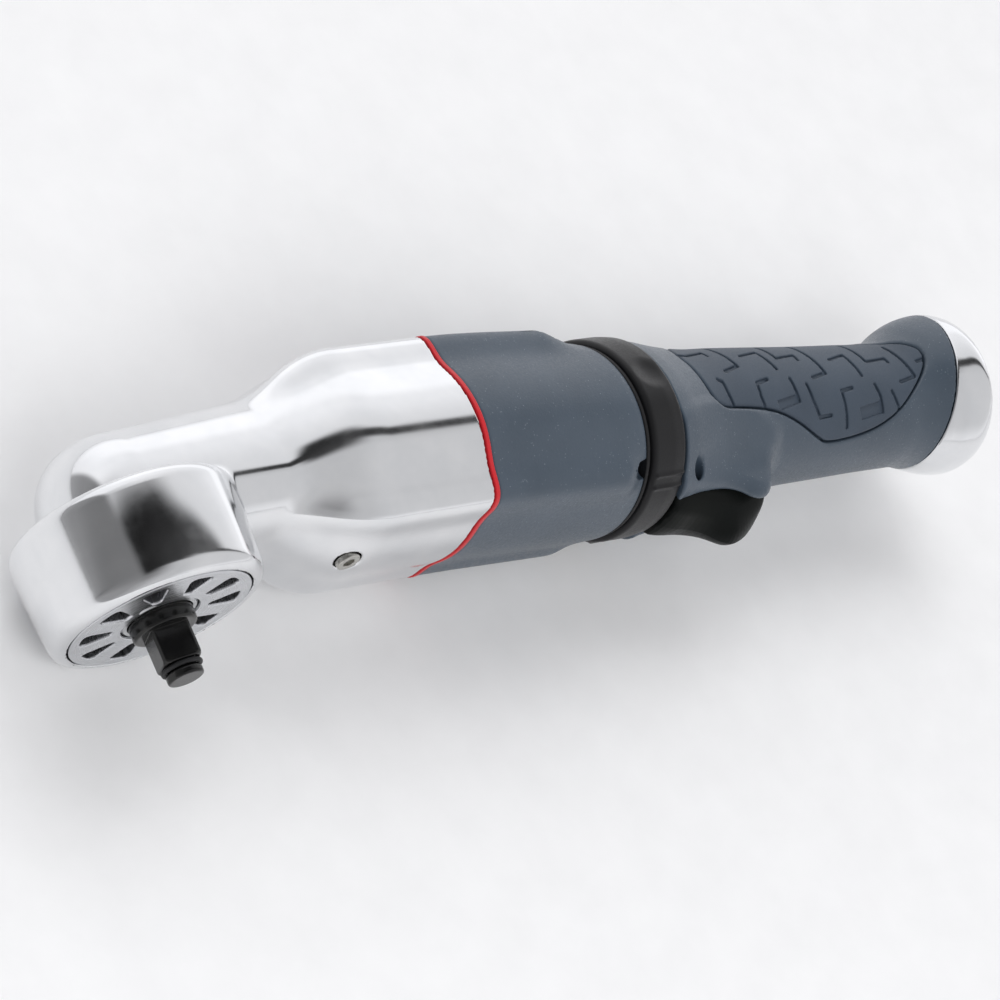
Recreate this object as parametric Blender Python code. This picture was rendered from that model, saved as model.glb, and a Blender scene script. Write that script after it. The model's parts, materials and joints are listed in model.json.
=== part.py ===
"""Right-angle air impact wrench with a square drive, laid on its side.

The tool is designed in its own frame, in millimetres, and one empty turns it onto its side:
X runs from the drive axis to the air inlet, Z points away from the square drive, and the drive
axis is the line x = 0, y = 0. Every piece is one closed solid.
"""

import math

import bmesh
import bpy
from mathutils import Matrix, Vector

MM = 0.001
GAP = 0.3

# Square drive and its spindle
DRIVE_SQUARE = 9.525
DRIVE_TIP_Z = -45.4
DRIVE_TURN = math.radians(-22)
# Head drum around the drive axis
DRUM_RADIUS = 27.9
DRUM_TOP_Z = -2.5
FACE_Z = -29.7
PLATE_RADIUS = 22.9
PETALS = 10
# Neck between the drum and the case
NECK_HALF_WIDTH = 18.5
NECK_BASE_Z = -3.0
NECK_POWER = 2.3
# Case and motor housing
BARREL_RADIUS = 27.1
CASE_END_X = 95.1
HOUSING_START_X = 96.7
HOUSING_END_X = 151.2
CHAMBER_RADIUS = 22.8
# Screw lobes: angle about the motor axis, height, width in degrees, and where they start and stop fading
UPPER_LOBES = ((50.5, 129.5), 4.5, 10.5, (134.0, 149.0))
LOWER_LOBES = ((-47.0, -133.0), 3.7, 12.0, (140.0, 150.5))
SCREW_RADIUS = 2.0
SCREW_HEAD_RADIUS = 2.9
SCREW_START_X = 80.0
SCREW_HEAD_X = 126.3
SCREWS = ((50.5, 27.2), (129.5, 27.2), (-47.0, 25.9), (-133.0, 25.9))
# Lubrication plug near the front of the case, on the drive side
PLUG_X = 58.5
PLUG_TURN = math.radians(174)
# Case nose: the case's front end is a quarter ellipse
NOSE_X = 66.0
NOSE_REACH = 31.0
# Reverse ring, centred a little below the motor axis
RING_Z = -1.3
RING_START_X = 152.9
RING_END_X = 165.1
RING_RADIUS = 26.5
RING_BORE = 21.3
RING_TAB_HALF = 3.4
# Handle: stations of x, half width, half height and centre height
HANDLE = (
    (165.4, 25.3, 25.6, -1.4),
    (170.0, 24.2, 24.8, -1.4),
    (176.0, 22.4, 23.4, -1.3),
    (184.0, 20.4, 21.8, -1.2),
    (193.0, 19.0, 20.6, -1.2),
    (202.0, 18.3, 20.2, -1.3),
    (218.0, 17.5, 19.4, -1.8),
    (234.0, 16.9, 18.7, -2.5),
    (250.0, 16.5, 18.1, -3.1),
    (262.0, 16.3, 17.8, -3.6),
    (268.0, 16.8, 17.9, -3.6),
    (273.0, 18.2, 19.0, -3.2),
    (278.0, 20.1, 20.8, -2.8),
    (284.0, 21.7, 22.4, -2.8),
    (288.5, 22.3, 22.7, -2.9),
    (291.0, 21.7, 22.1, -2.9),
    (292.0, 20.2, 20.6, -2.9),
)
CAP_PLANE_X = 280.8
CAP_PLANE_SLOPE = math.radians(19)
BORE_Z = -2.2
BORE_RADIUS = 9.7
BORE_END_X = 264.0
EXHAUST_RADIUS = 13.4
INLET_END_X = 297.0
INLET_BORE = 5.9
INLET_CORNER_RADIUS = 12.1
# Grip panel: stations of x, lower edge and upper edge, as degrees up from the side of the handle
GRIP = (
    (181.6, 22.0, 36.0),
    (183.0, 2.0, 48.0),
    (185.0, -9.0, 56.0),
    (188.0, -13.0, 64.0),
    (203.8, -17.0, 72.0),
    (216.5, -31.0, 74.0),
    (228.0, -50.0, 74.0),
    (237.0, -50.0, 72.0),
    (251.0, -40.0, 66.0),
    (260.5, -23.0, 58.0),
    (269.0, -2.0, 45.0),
    (273.2, 15.0, 24.0),
)
GRIP_DEPTH = 1.6
# Trigger, its plunger and the tilting throttle valve
PIVOT_X = 171.5
PIVOT_Z = -20.5
PIVOT_RADIUS = 1.8
TRIGGER_HALF_WIDTH = 9.0
PLUNGER_X = 190.5
PLUNGER_RADIUS = 1.9
SEAT_X = 229.3
VALVE_RADIUS = 8.0
STEM_RADIUS = 1.5
# Bevel gears: teeth, outer module and the two cone distances
GEAR_TEETH = 24
PINION_TEETH = 12
MODULE = 1.5
CONE_OUTER = 20.125
CONE_INNER = 14.2
TOOTH_SHARE = 0.80
# Motor
ROTOR_RADIUS = 15.6
CYLINDER_RADIUS = 22.3
CYLINDER_BORE = 18.2
CYLINDER_OFFSET = 2.2
VANES = 6
# The bounding box, which sets the row frame's origin
FRONT_X = -DRUM_RADIUS
TOP_Z = 27.33
SIDE_Y = DRUM_RADIUS

SMOOTH_ANGLE = math.radians(32)


def clear_scene():
    for thing in list(bpy.data.objects):
        bpy.data.objects.remove(thing, do_unlink=True)


def make_material(name, colour, metallic, roughness):
    material = bpy.data.materials.new(name)
    material.use_nodes = True
    shader = material.node_tree.nodes["Principled BSDF"]
    shader.inputs["Base Color"].default_value = (*colour, 1.0)
    shader.inputs["Metallic"].default_value = metallic
    shader.inputs["Roughness"].default_value = roughness
    return material


def make_empty(name, place, parent):
    empty = bpy.data.objects.new(name, None)
    bpy.context.scene.collection.objects.link(empty)
    empty.location = Vector(place) * MM
    empty.parent = parent
    return empty


def pivot_place(pivot):
    return Vector(pivot.get("place", (0.0, 0.0, 0.0)))


def make_pivot(name, place, tool):
    pivot = make_empty(name, place, tool)
    pivot["place"] = place
    return pivot


def make_object(name, mesh_data, material, pivot):
    """Turns a bmesh in the tool's millimetres into an object whose origin is its pivot."""
    bmesh.ops.recalc_face_normals(mesh_data, faces=mesh_data.faces)
    for vertex in mesh_data.verts:
        vertex.co = (vertex.co - pivot_place(pivot)) * MM
    mesh = bpy.data.meshes.new(name)
    mesh_data.to_mesh(mesh)
    mesh_data.free()
    mesh.shade_smooth()
    mesh.set_sharp_from_angle(angle=SMOOTH_ANGLE)
    if material:
        mesh.materials.append(material)
    thing = bpy.data.objects.new(name, mesh)
    bpy.context.scene.collection.objects.link(thing)
    thing.parent = pivot
    return thing


def make_cutter(name, mesh_data, pivot):
    cutter = make_object(name, mesh_data, None, pivot)
    cutter.hide_render = True
    cutter.display_type = "WIRE"
    return cutter


def boolean(thing, operation, other):
    modifier = thing.modifiers.new(f"{operation.lower()}_{other.name}", "BOOLEAN")
    modifier.operation = operation
    modifier.object = other


def cut(thing, *cutters):
    for cutter in cutters:
        boolean(thing, "DIFFERENCE", cutter)


def join(thing, *others):
    for other in others:
        boolean(thing, "UNION", other)


# ---------------------------------------------------------------- solids


def lofted(sections):
    """A closed solid through rings of points of equal count."""
    solid = bmesh.new()
    rings = [[solid.verts.new(point) for point in section] for section in sections]
    count = len(rings[0])
    for lower, upper in zip(rings, rings[1:]):
        for i in range(count):
            j = (i + 1) % count
            solid.faces.new((lower[i], lower[j], upper[j], upper[i]))
    solid.faces.new(rings[0])
    solid.faces.new(reversed(rings[-1]))
    return solid


def along(axis, centre, radial, height, angle):
    """A point at a radius, a height along the axis and an angle about it."""
    a = radial * math.cos(angle)
    b = radial * math.sin(angle)
    offsets = {"X": (height, a, b), "Y": (b, height, a), "Z": (a, b, height)}
    return Vector(centre) + Vector(offsets[axis])


def turned(profile, axis="Z", centre=(0.0, 0.0, 0.0), steps=24):
    """A turned solid from (radius, height) points: open and ending on the axis, or a closed loop."""
    solid = bmesh.new()
    angles = [2 * math.pi * i / steps for i in range(steps)]
    rings = []
    for radius, height in profile:
        if radius < 1e-6:
            rings.append([solid.verts.new(along(axis, centre, 0.0, height, 0.0))])
        else:
            rings.append([solid.verts.new(along(axis, centre, radius, height, t)) for t in angles])
    pairs = list(zip(rings, rings[1:]))
    if len(rings[0]) > 1:
        pairs.append((rings[-1], rings[0]))
    for first, second in pairs:
        for i in range(steps):
            j = (i + 1) % steps
            if len(first) == 1:
                solid.faces.new((first[0], second[j], second[i]))
            elif len(second) == 1:
                solid.faces.new((first[i], first[j], second[0]))
            else:
                solid.faces.new((first[i], first[j], second[j], second[i]))
    return solid


def rod(radius, low, high, axis="X", centre=(0.0, 0.0, 0.0), steps=20):
    return turned(((0.0, low), (radius, low), (radius, high), (0.0, high)), axis, centre, steps)


def tube(bore, radius, low, high, axis="X", centre=(0.0, 0.0, 0.0), steps=24):
    return turned(((bore, low), (radius, low), (radius, high), (bore, high)), axis, centre, steps)


def prism(outline, low, high, axis="X"):
    """An outline in the plane across the axis, pushed along it from low to high."""
    order = {
        "X": lambda a, b, h: (h, a, b),
        "Y": lambda a, b, h: (a, h, b),
        "Z": lambda a, b, h: (a, b, h),
    }[axis]
    return lofted([[order(a, b, height) for a, b in outline] for height in (low, high)])


def box(low, high):
    outline = ((low[0], low[1]), (high[0], low[1]), (high[0], high[1]), (low[0], high[1]))
    return prism(outline, low[2], high[2], "Z")


def merged(*solids):
    """Several separate bodies in one mesh, used for cutters only."""
    joined = bmesh.new()
    for solid in solids:
        mesh = bpy.data.meshes.new("merging")
        solid.to_mesh(mesh)
        solid.free()
        joined.from_mesh(mesh)
        bpy.data.meshes.remove(mesh)
    return joined


def moved(solid, matrix):
    bmesh.ops.transform(solid, matrix=matrix, verts=solid.verts)
    return solid


# ---------------------------------------------------------------- shapes that pieces share


def between(value, stations):
    """Reads the rest of a table of stations at a value of its first column, in straight steps."""
    if value <= stations[0][0]:
        return stations[0][1:]
    for near, far in zip(stations, stations[1:]):
        if value <= far[0]:
            share = (value - near[0]) / (far[0] - near[0])
            return tuple(a + share * (b - a) for a, b in zip(near[1:], far[1:]))
    return stations[-1][1:]


def bump(angle, centre, width):
    apart = (angle - centre + 180.0) % 360.0 - 180.0
    return math.exp(-((apart / width) ** 2))


def smooth_step(value):
    value = min(1.0, max(0.0, value))
    return value * value * (3.0 - 2.0 * value)


def barrel_point(x, degrees, scale=1.0, extra=0.0):
    """A point of the case and motor housing, a barrel with four screw lobes."""
    angle = math.radians(degrees)
    late = smooth_step((x - HOUSING_START_X) / (HOUSING_END_X - HOUSING_START_X))
    radius = BARREL_RADIUS - 1.2 * late
    radius -= (1.8 - 1.4 * late) * max(0.0, -math.sin(angle)) ** 2
    for places, height, width, (fade_start, fade_end) in (UPPER_LOBES, LOWER_LOBES):
        fade = smooth_step((fade_end - x) / (fade_end - fade_start))
        radius += fade * height * sum(bump(degrees, place, width) for place in places)
    radius = radius * scale + extra
    return (x, radius * math.cos(angle), radius * math.sin(angle) + RING_Z * late)


def barrel_section(x, count, scale=1.0, extra=0.0):
    return [barrel_point(x, 360.0 * (i + 0.5) / count, scale, extra) for i in range(count)]


def nose_scale(x):
    return math.sqrt(1.0 - (max(0.0, NOSE_X - x) / NOSE_REACH) ** 2)


def neck_section(x, count):
    """A slice of the neck: superellipses above and below its base line, closing as a dome in front."""
    width = NECK_HALF_WIDTH + 0.04 * max(0.0, x)
    top = 20.0 + 0.085 * max(0.0, x)
    share = min(0.985, max(0.0, -x) / NECK_HALF_WIDTH)
    across = math.sqrt(1.0 - share**2)
    above = (1.0 - share**NECK_POWER) ** (1.0 / NECK_POWER)
    points = []
    for i in range(count):
        angle = 2 * math.pi * i / count
        c = math.cos(angle)
        s = math.sin(angle)
        y = width * across * math.copysign(abs(c) ** (2 / NECK_POWER), c)
        height = top * above if s > 0 else 13.0 * across
        z = NECK_BASE_Z + height * math.copysign(abs(s) ** (2 / NECK_POWER), s)
        points.append((x, y, z))
    return points


def handle_point(x, degrees, inset=0.0):
    a, b, centre = between(x, HANDLE)
    angle = math.radians(degrees)
    return (x, (a - inset) * math.cos(angle), centre + (b - inset) * math.sin(angle))


def handle_loft(count):
    return lofted(
        [[handle_point(row[0], 360.0 * i / count) for i in range(count)] for row in HANDLE]
    )


def tilted_block(towards_head, clearance):
    """A block whose one face lies in the slanted plane between the handle and the end cap."""
    if towards_head:
        block = box((-200.0, -60.0, -150.0), (-clearance, 60.0, 150.0))
    else:
        block = box((clearance, -60.0, -150.0), (200.0, 60.0, 150.0))
    turn = Matrix.Rotation(CAP_PLANE_SLOPE, 4, "Y")
    return moved(block, Matrix.Translation((CAP_PLANE_X, 0.0, HANDLE[-3][3])) @ turn)


def screw_holes(radius, low, high):
    rods = []
    for degrees, distance in SCREWS:
        angle = math.radians(degrees)
        centre = (0.0, distance * math.cos(angle), distance * math.sin(angle))
        rods.append(rod(radius, low, high, "X", centre, 12))
    return merged(*rods)


def circle_outline(radius, count, start=0.0, stop=360.0, centre=(0.0, 0.0)):
    points = []
    for i in range(count):
        angle = math.radians(start + (stop - start) * i / (count - 1))
        points.append((centre[0] + radius * math.cos(angle), centre[1] + radius * math.sin(angle)))
    return points


# ---------------------------------------------------------------- head and case


def build_hammer_case(tool, alloy):
    stations = (36.5, 38.5, 41.5, 45.5, 51.0, 57.5, NOSE_X, 80.0, CASE_END_X)
    sections = [barrel_section(x, 44, nose_scale(x)) for x in stations]
    case = make_object("hammer_case", lofted(sections), alloy, tool)
    neck_stations = (-18.0, -16.8, -14.0, -9.5, -4.0, 3.0, 20.0, 42.0, 60.0)
    neck = make_cutter(
        "neck_form", lofted([neck_section(x, 32) for x in neck_stations]), tool
    )
    drum = make_cutter(
        "drum_form",
        turned(
            (
                (0.0, FACE_Z),
                (24.6, FACE_Z),
                (26.0, -28.6),
                (26.9, -25.5),
                (27.6, -15.0),
                (DRUM_RADIUS, -6.0),
                (27.2, -3.6),
                (25.2, DRUM_TOP_Z),
                (0.0, DRUM_TOP_Z),
            ),
            steps=48,
        ),
        tool,
    )
    drum_cavity = turned(
        (
            (0.0, -36.0),
            (23.2, -36.0),
            (23.2, -25.9),
            (22.4, -25.9),
            (22.4, -4.8),
            (8.0, -4.8),
            (8.0, 9.4),
            (0.0, 9.4),
        ),
        steps=32,
    )
    train_cavity = turned(
        (
            (0.0, 3.0),
            (11.8, 3.0),
            (11.8, 19.8),
            (10.3, 19.8),
            (10.3, 46.0),
            (16.5, 46.0),
            (CHAMBER_RADIUS, 56.0),
            (CHAMBER_RADIUS, 110.0),
            (0.0, 110.0),
        ),
        "X",
        steps=32,
    )
    plug_hole = moved(rod(3.5, 20.0, 40.0, "Z", steps=16), plug_matrix())
    join(case, neck, drum)
    cut(
        case,
        make_cutter("drum_cavity", drum_cavity, tool),
        make_cutter("train_cavity", train_cavity, tool),
        make_cutter("case_screw_holes", screw_holes(SCREW_RADIUS + GAP, 78.0, 110.0), tool),
        make_cutter("plug_hole", plug_hole, tool),
    )


def plug_matrix():
    """Puts something built along Z at the lubrication plug."""
    return Matrix.Translation((PLUG_X, 0.0, 0.0)) @ Matrix.Rotation(PLUG_TURN, 4, "X")


def build_lube_plug(tool, steel):
    plug = turned(
        ((0.0, 23.2), (3.1, 23.2), (3.1, 25.6), (2.7, 26.0), (0.0, 26.0)), "Z", steps=20
    )
    socket = prism(circle_outline(1.5, 7)[:-1], 24.6, 30.0, "Z")
    thing = make_object("lube_plug", moved(plug, plug_matrix()), steel, tool)
    cut(thing, make_cutter("plug_socket", moved(socket, plug_matrix()), tool))


def petal_outline(turn):
    """One vent of the face plate: a rounded wedge between two radii."""
    inner, outer = 12.2, 20.6
    points = [(inner, -1.1), (15.5, -2.6), (18.8, -3.4), (outer, -2.4)]
    points += [(outer + 0.5, 0.0)] + [(a, -b) for a, b in reversed(points)]
    c, s = math.cos(turn), math.sin(turn)
    return [(a * c - b * s, a * s + b * c) for a, b in points]


def build_face_plate(tool, alloy, bronze):
    plate = make_object(
        "face_plate", tube(9.9, PLATE_RADIUS, FACE_Z, -26.2, "Z", steps=40), alloy, tool
    )
    low, high = FACE_Z - 2.0, -24.0
    vents = [
        prism(petal_outline(2 * math.pi * (i + 0.5) / PETALS), low, high, "Z")
        for i in range(PETALS)
    ]
    cut(plate, make_cutter("face_vents", merged(*vents), tool))
    notches = [
        rod(2.2, low, high, "Z", (9.9 * math.cos(t), 9.9 * math.sin(t), 0.0), 12)
        for t in (math.radians(40), math.radians(220))
    ]
    cut(plate, make_cutter("spanner_notches", merged(*notches), tool))
    make_object("face_plate_bushing", tube(8.3, 9.6, -29.2, -20.6, "Z", steps=28), bronze, tool)


def build_drive(tool, steel, dark_steel, rubber):
    axis = make_pivot("drive_axis", (0.0, 0.0, -20.0), tool)
    profile = (
        (0.0, DRIVE_TIP_Z),
        (3.9, DRIVE_TIP_Z),
        (4.5, -44.8),
        (4.5, -43.2),
        (3.7, -43.2),
        (3.7, -33.0),
        (7.2, -33.0),
        (8.0, -32.4),
        (8.0, -19.9),
        (6.6, -19.9),
        (6.6, -9.0),
        (4.8, -9.0),
        (4.8, 7.8),
        (0.0, 7.8),
    )
    spindle = make_object("drive_spindle", turned(profile, steps=24), dark_steel, axis)
    half = DRIVE_SQUARE / 2
    chamfer = 0.9
    corner = half - chamfer
    square = [(half, -corner), (half, corner), (corner, half), (-corner, half)]
    square += [(-half, corner), (-half, -corner), (-corner, -half), (corner, -half)]
    block = moved(prism(square, -41.7, -32.7, "Z"), Matrix.Rotation(DRIVE_TURN, 4, "Z"))
    join(spindle, make_cutter("square_form", block, axis))
    ring = turned(
        [(4.6 + 0.6 * math.cos(t), -42.45 + 0.55 * math.sin(t)) for t in ring_angles(6)],
        steps=28,
    )
    make_object("socket_retainer", ring, rubber, axis)
    build_bevel_gear(axis, steel)
    bushing = tube(5.1, 7.7, -3.6, 8.2, "Z", steps=24)
    make_object("upper_spindle_bushing", bushing, steel, tool)


def ring_angles(count):
    return [2 * math.pi * (i + 0.5) / count for i in range(count)]


def bevel_teeth(teeth, pitch_radius, pitch_height, distance, gap_first):
    """One ring of a bevel gear's tooth outline at a distance from the apex, as radius and height."""
    slope = math.hypot(pitch_radius, pitch_height)
    scale = distance / slope
    outward = pitch_height / slope
    tip = MODULE
    root = -1.25 * MODULE
    half = math.pi * MODULE / 4 * TOOTH_SHARE
    flank = math.tan(math.radians(20))
    ring = []
    for i in range(teeth):
        middle = 2 * math.pi * (i + (0.5 if gap_first else 0.0)) / teeth
        for level, side in ((root, -1), (tip, -1), (tip, 1), (root, 1)):
            radius = pitch_radius + level * outward
            height = pitch_height - level * pitch_radius / slope
            thickness = half - level * flank
            ring.append((radius * scale, height * scale, middle + side * thickness / radius))
    return ring


def build_bevel_gear(axis, steel):
    radius = MODULE * GEAR_TEETH / 2
    height = MODULE * PINION_TEETH / 2
    rings = []
    for distance in (CONE_OUTER, CONE_INNER):
        rings.append(bevel_teeth(GEAR_TEETH, radius, height, distance, False))
    sections = [[along("Z", (0, 0, 0), r, -h, t) for r, h, t in ring] for ring in rings]
    gear = make_object("bevel_gear", lofted(sections), steel, axis)
    hub = turned(((0.0, -17.6), (12.0, -17.6), (16.2, -10.9), (11.0, -8.2), (0.0, -8.2)), steps=24)
    join(gear, make_cutter("gear_hub", hub, axis))
    cut(gear, make_cutter("gear_bore", rod(6.9, -30.0, 0.0, "Z", steps=24), axis))


def build_anvil(tool, steel, bronze):
    axis = make_pivot("anvil_axis", (50.0, 0.0, 0.0), tool)
    radius = MODULE * PINION_TEETH / 2
    height = MODULE * GEAR_TEETH / 2
    sections = []
    for distance in (CONE_OUTER, CONE_INNER):
        ring = bevel_teeth(PINION_TEETH, radius, height, distance, True)
        sections.append([along("X", (0, 0, 0), r, h, t - math.pi / 2) for r, h, t in ring])
    shaft = turned(
        (
            (0.0, 13.4),
            (4.4, 13.4),
            (6.4, 17.6),
            (7.6, 19.4),
            (7.6, 46.2),
            (10.0, 46.2),
            (10.0, 50.4),
            (8.2, 50.4),
            (8.2, 83.5),
            (4.6, 83.5),
            (4.6, 91.4),
            (0.0, 91.4),
        ),
        "X",
        steps=24,
    )
    anvil = make_object("anvil_pinion", shaft, steel, axis)
    join(anvil, make_cutter("pinion_teeth", lofted(sections), axis))
    join(anvil, make_cutter("anvil_jaws", box((62.0, -3.4, -10.3), (82.5, 3.4, 10.3)), axis))
    make_object("anvil_bushing", tube(7.9, 10.0, 20.4, 45.7, "X", steps=24), bronze, tool)


# ---------------------------------------------------------------- hammers and motor


def hammer_outline(side):
    """A C-shaped hammer: flattened at its sides and open at the pin that it doesn't hang on."""
    outer = circle_outline(19.8, 33, -78.0, 258.0)
    inner = circle_outline(11.2, 21, 248.0, -68.0)
    flat = 14.6
    return [(max(-flat, min(flat, y)), side * z) for y, z in outer + inner]


def build_hammers(train, steel, dark_steel):
    shell = (
        (11.5, 57.0),
        (21.2, 57.0),
        (21.2, 92.5),
        (8.6, 92.5),
        (8.6, 97.6),
        (6.4, 97.6),
        (6.4, 92.0),
        (5.0, 92.0),
        (5.0, 88.2),
        (17.2, 88.2),
        (17.2, 60.6),
        (11.5, 60.6),
    )
    frame = make_object("hammer_frame", turned(shell, "X", steps=24), dark_steel, train)
    windows = merged(
        box((60.6, -30.0, 8.0), (88.2, 30.0, 30.0)), box((60.6, -30.0, -30.0), (88.2, 30.0, -8.0))
    )
    pin_height = 14.4
    pin_holes = merged(
        *[rod(2.4, 50.0, 94.0, "X", (0.0, 0.0, side * pin_height), 12) for side in (1, -1)]
    )
    cut(frame, make_cutter("frame_windows", windows, train))
    cut(frame, make_cutter("frame_pin_holes", pin_holes, train))
    for number, (side, start) in enumerate(((1, 61.0), (-1, 74.6)), 1):
        stop = start + 13.2
        outline = hammer_outline(side)
        hammer = make_object(f"hammer_{number}", prism(outline, start, stop), steel, train)
        pivot_hole = rod(2.5, start - 1, stop + 1, "X", (0.0, 0.0, side * pin_height), 12)
        cut(hammer, make_cutter(f"hammer_hole_{number}", pivot_hole, train))
        pin = rod(2.1, 57.4, 91.8, "X", (0.0, 0.0, side * pin_height), 16)
        make_object(f"hammer_pin_{number}", pin, dark_steel, train)


def rotor_outline():
    points = []
    slot_half = 1.1
    slot_floor = 7.6
    edge = math.asin(slot_half / ROTOR_RADIUS)
    step = 2 * math.pi / VANES
    for i in range(VANES):
        middle = i * step
        c, s = math.cos(middle), math.sin(middle)
        mouth = ROTOR_RADIUS * math.cos(edge)
        corners = ((mouth, -slot_half), (slot_floor, -slot_half), (slot_floor, slot_half))
        points += [(a * c - b * s, a * s + b * c) for a, b in (*corners, (mouth, slot_half))]
        for k in range(1, 5):
            angle = middle + edge + (step - 2 * edge) * k / 5
            points.append((ROTOR_RADIUS * math.cos(angle), ROTOR_RADIUS * math.sin(angle)))
    return points


def build_motor(tool, train, steel, dark_steel, bronze, composite):
    rotor = make_object("rotor", prism(rotor_outline(), 104.6, 136.2), steel, train)
    shaft = turned(
        ((0.0, 93.0), (6.0, 93.0), (6.0, 120.0), (5.0, 120.0), (5.0, 143.4), (0.0, 143.4)),
        "X",
        steps=20,
    )
    join(rotor, make_cutter("rotor_shaft", shaft, train))
    for i in range(VANES):
        blade = box((104.9, -0.8, 8.1), (135.9, 0.8, 15.7))
        turn = Matrix.Rotation(2 * math.pi * i / VANES - math.pi / 2, 4, "X")
        make_object(f"rotor_vane_{i + 1}", moved(blade, turn), composite, train)
    cylinder = make_object(
        "motor_cylinder", rod(CYLINDER_RADIUS, 104.1, 136.7, steps=32), dark_steel, tool
    )
    bore = rod(CYLINDER_BORE, 100.0, 140.0, "X", (0.0, 0.0, CYLINDER_OFFSET), 32)
    ports = merged(*[box((x, -30.0, -3.0), (x + 5.0, -10.0, 3.0)) for x in (109.0, 118.0, 127.0)])
    cut(cylinder, make_cutter("cylinder_bore", bore, tool))
    cut(cylinder, make_cutter("exhaust_ports", ports, tool))
    front = tube(9.6, CYLINDER_RADIUS, 98.4, 103.7, "X", steps=28)
    make_object("front_end_plate", front, dark_steel, tool)
    make_object("front_bearing", tube(6.3, 9.3, 98.6, 103.5, "X", steps=24), steel, tool)
    rear = tube(8.6, CYLINDER_RADIUS, 137.1, 142.8, "X", steps=28)
    plate = make_object("rear_end_plate", rear, dark_steel, tool)
    slots = [rod(2.0, 130.0, 150.0, "X", (0.0, y, 15.0), 10) for y in (-8.0, 8.0)]
    cut(plate, make_cutter("inlet_ports", merged(*slots), tool))
    make_object("rear_bearing", tube(5.3, 8.3, 137.3, 142.6, "X", steps=24), steel, tool)


def build_motor_housing(tool, composite, gasket_red, rubber, screw_steel):
    stations = (HOUSING_START_X, 112.0, 126.0, 134.0, 138.0, 141.5, 145.0, 148.5, HOUSING_END_X)
    sections = [barrel_section(x, 44) for x in stations]
    housing = make_object("motor_housing", lofted(sections), composite, tool)
    cavity = turned(
        (
            (0.0, 90.0),
            (22.7, 90.0),
            (22.7, 143.2),
            (14.0, 143.2),
            (14.0, 160.0),
            (0.0, 160.0),
        ),
        "X",
        steps=32,
    )
    cut(
        housing,
        make_cutter("motor_cavity", cavity, tool),
        make_cutter("housing_screw_holes", screw_holes(SCREW_RADIUS + GAP, 90.0, 128.0), tool),
        make_cutter(
            "screw_counterbores",
            screw_holes(SCREW_HEAD_RADIUS + GAP, SCREW_HEAD_X - GAP, 160.0),
            tool,
        ),
    )
    edge = [barrel_section(x, 44, 1.0, 0.3) for x in (CASE_END_X + GAP, HOUSING_START_X - GAP)]
    gasket = make_object("case_gasket", lofted(edge), gasket_red, tool)
    cut(
        gasket,
        make_cutter("gasket_bore", rod(23.2, 90.0, 100.0, steps=32), tool),
        make_cutter("gasket_screw_holes", screw_holes(SCREW_RADIUS + GAP, 90.0, 100.0), tool),
    )
    for number, (degrees, distance) in enumerate(SCREWS, 1):
        angle = math.radians(degrees)
        centre = (0.0, distance * math.cos(angle), distance * math.sin(angle))
        head_end = SCREW_HEAD_X + 3.7
        socket_floor = head_end - 2.0
        profile = (
            (0.0, SCREW_START_X),
            (SCREW_RADIUS, SCREW_START_X),
            (SCREW_RADIUS, SCREW_HEAD_X),
            (SCREW_HEAD_RADIUS, SCREW_HEAD_X),
            (SCREW_HEAD_RADIUS, head_end),
            (1.6, head_end),
            (1.6, socket_floor),
            (0.0, socket_floor),
        )
        screw = turned(profile, "X", centre, 12)
        make_object(f"case_screw_{number}", screw, screw_steel, tool)
    seal = tube(21.3, 25.2, HOUSING_END_X + GAP, RING_START_X - GAP, "X", (0.0, 0.0, RING_Z), 32)
    make_object("housing_seal", seal, rubber, tool)


# ---------------------------------------------------------------- reverse ring, handle, valve


def build_reverse_control(tool, ring_plastic, steel):
    axis = make_pivot("reverse_axis", (159.0, 0.0, RING_Z), tool)
    centre = (0.0, 0.0, RING_Z)
    profile = (
        (RING_BORE, RING_START_X),
        (25.5, RING_START_X),
        (RING_RADIUS, RING_START_X + 1.0),
        (RING_RADIUS, RING_END_X - 2.5),
        (25.4, RING_END_X),
        (RING_BORE, RING_END_X),
    )
    ring = make_object("reverse_ring", turned(profile, "X", centre, 36), ring_plastic, axis)
    half = RING_TAB_HALF
    tab = box((156.4, -half, RING_Z + 13.6), (161.0, half, RING_Z + 23.0))
    join(ring, make_cutter("ring_tab", tab, axis))
    valve = make_object("reverse_valve", rod(15.8, 156.2, 161.2, "X", centre, 30), steel, axis)
    wide = half + GAP
    notch = box((150.0, -wide, RING_Z + 13.2), (170.0, wide, RING_Z + 30.0))
    port_places = ((-8.5, 4.0), (8.5, 4.0), (-6.0, -7.5), (6.0, -7.5))
    ports = [rod(2.6, 150.0, 170.0, "X", (0.0, y, RING_Z + z), 12) for y, z in port_places]
    cut(valve, make_cutter("valve_notch", notch, axis))
    cut(valve, make_cutter("valve_ports", merged(*ports), axis))


def grip_solid(side, inset, clearance):
    """The leaf-shaped panel on one side of the handle, or with clearance the recess it sits in."""
    columns = 9
    sections = []
    for row, (x, lower, upper) in enumerate(GRIP):
        spread = clearance / 17.0 * 180.0 / math.pi
        edge = (lower - spread, upper + spread)
        if row < 3:
            x -= clearance
        elif row >= len(GRIP) - 3:
            x += clearance
        angles = [edge[0] + (edge[1] - edge[0]) * i / (columns - 1) for i in range(columns)]
        outer = [handle_point(x, 180.0 - a, inset) for a in angles]
        inner = [handle_point(x, 180.0 - a, GRIP_DEPTH + clearance) for a in reversed(angles)]
        sections.append([(px, side * py, pz) for px, py, pz in outer + inner])
    return lofted(sections)


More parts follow.
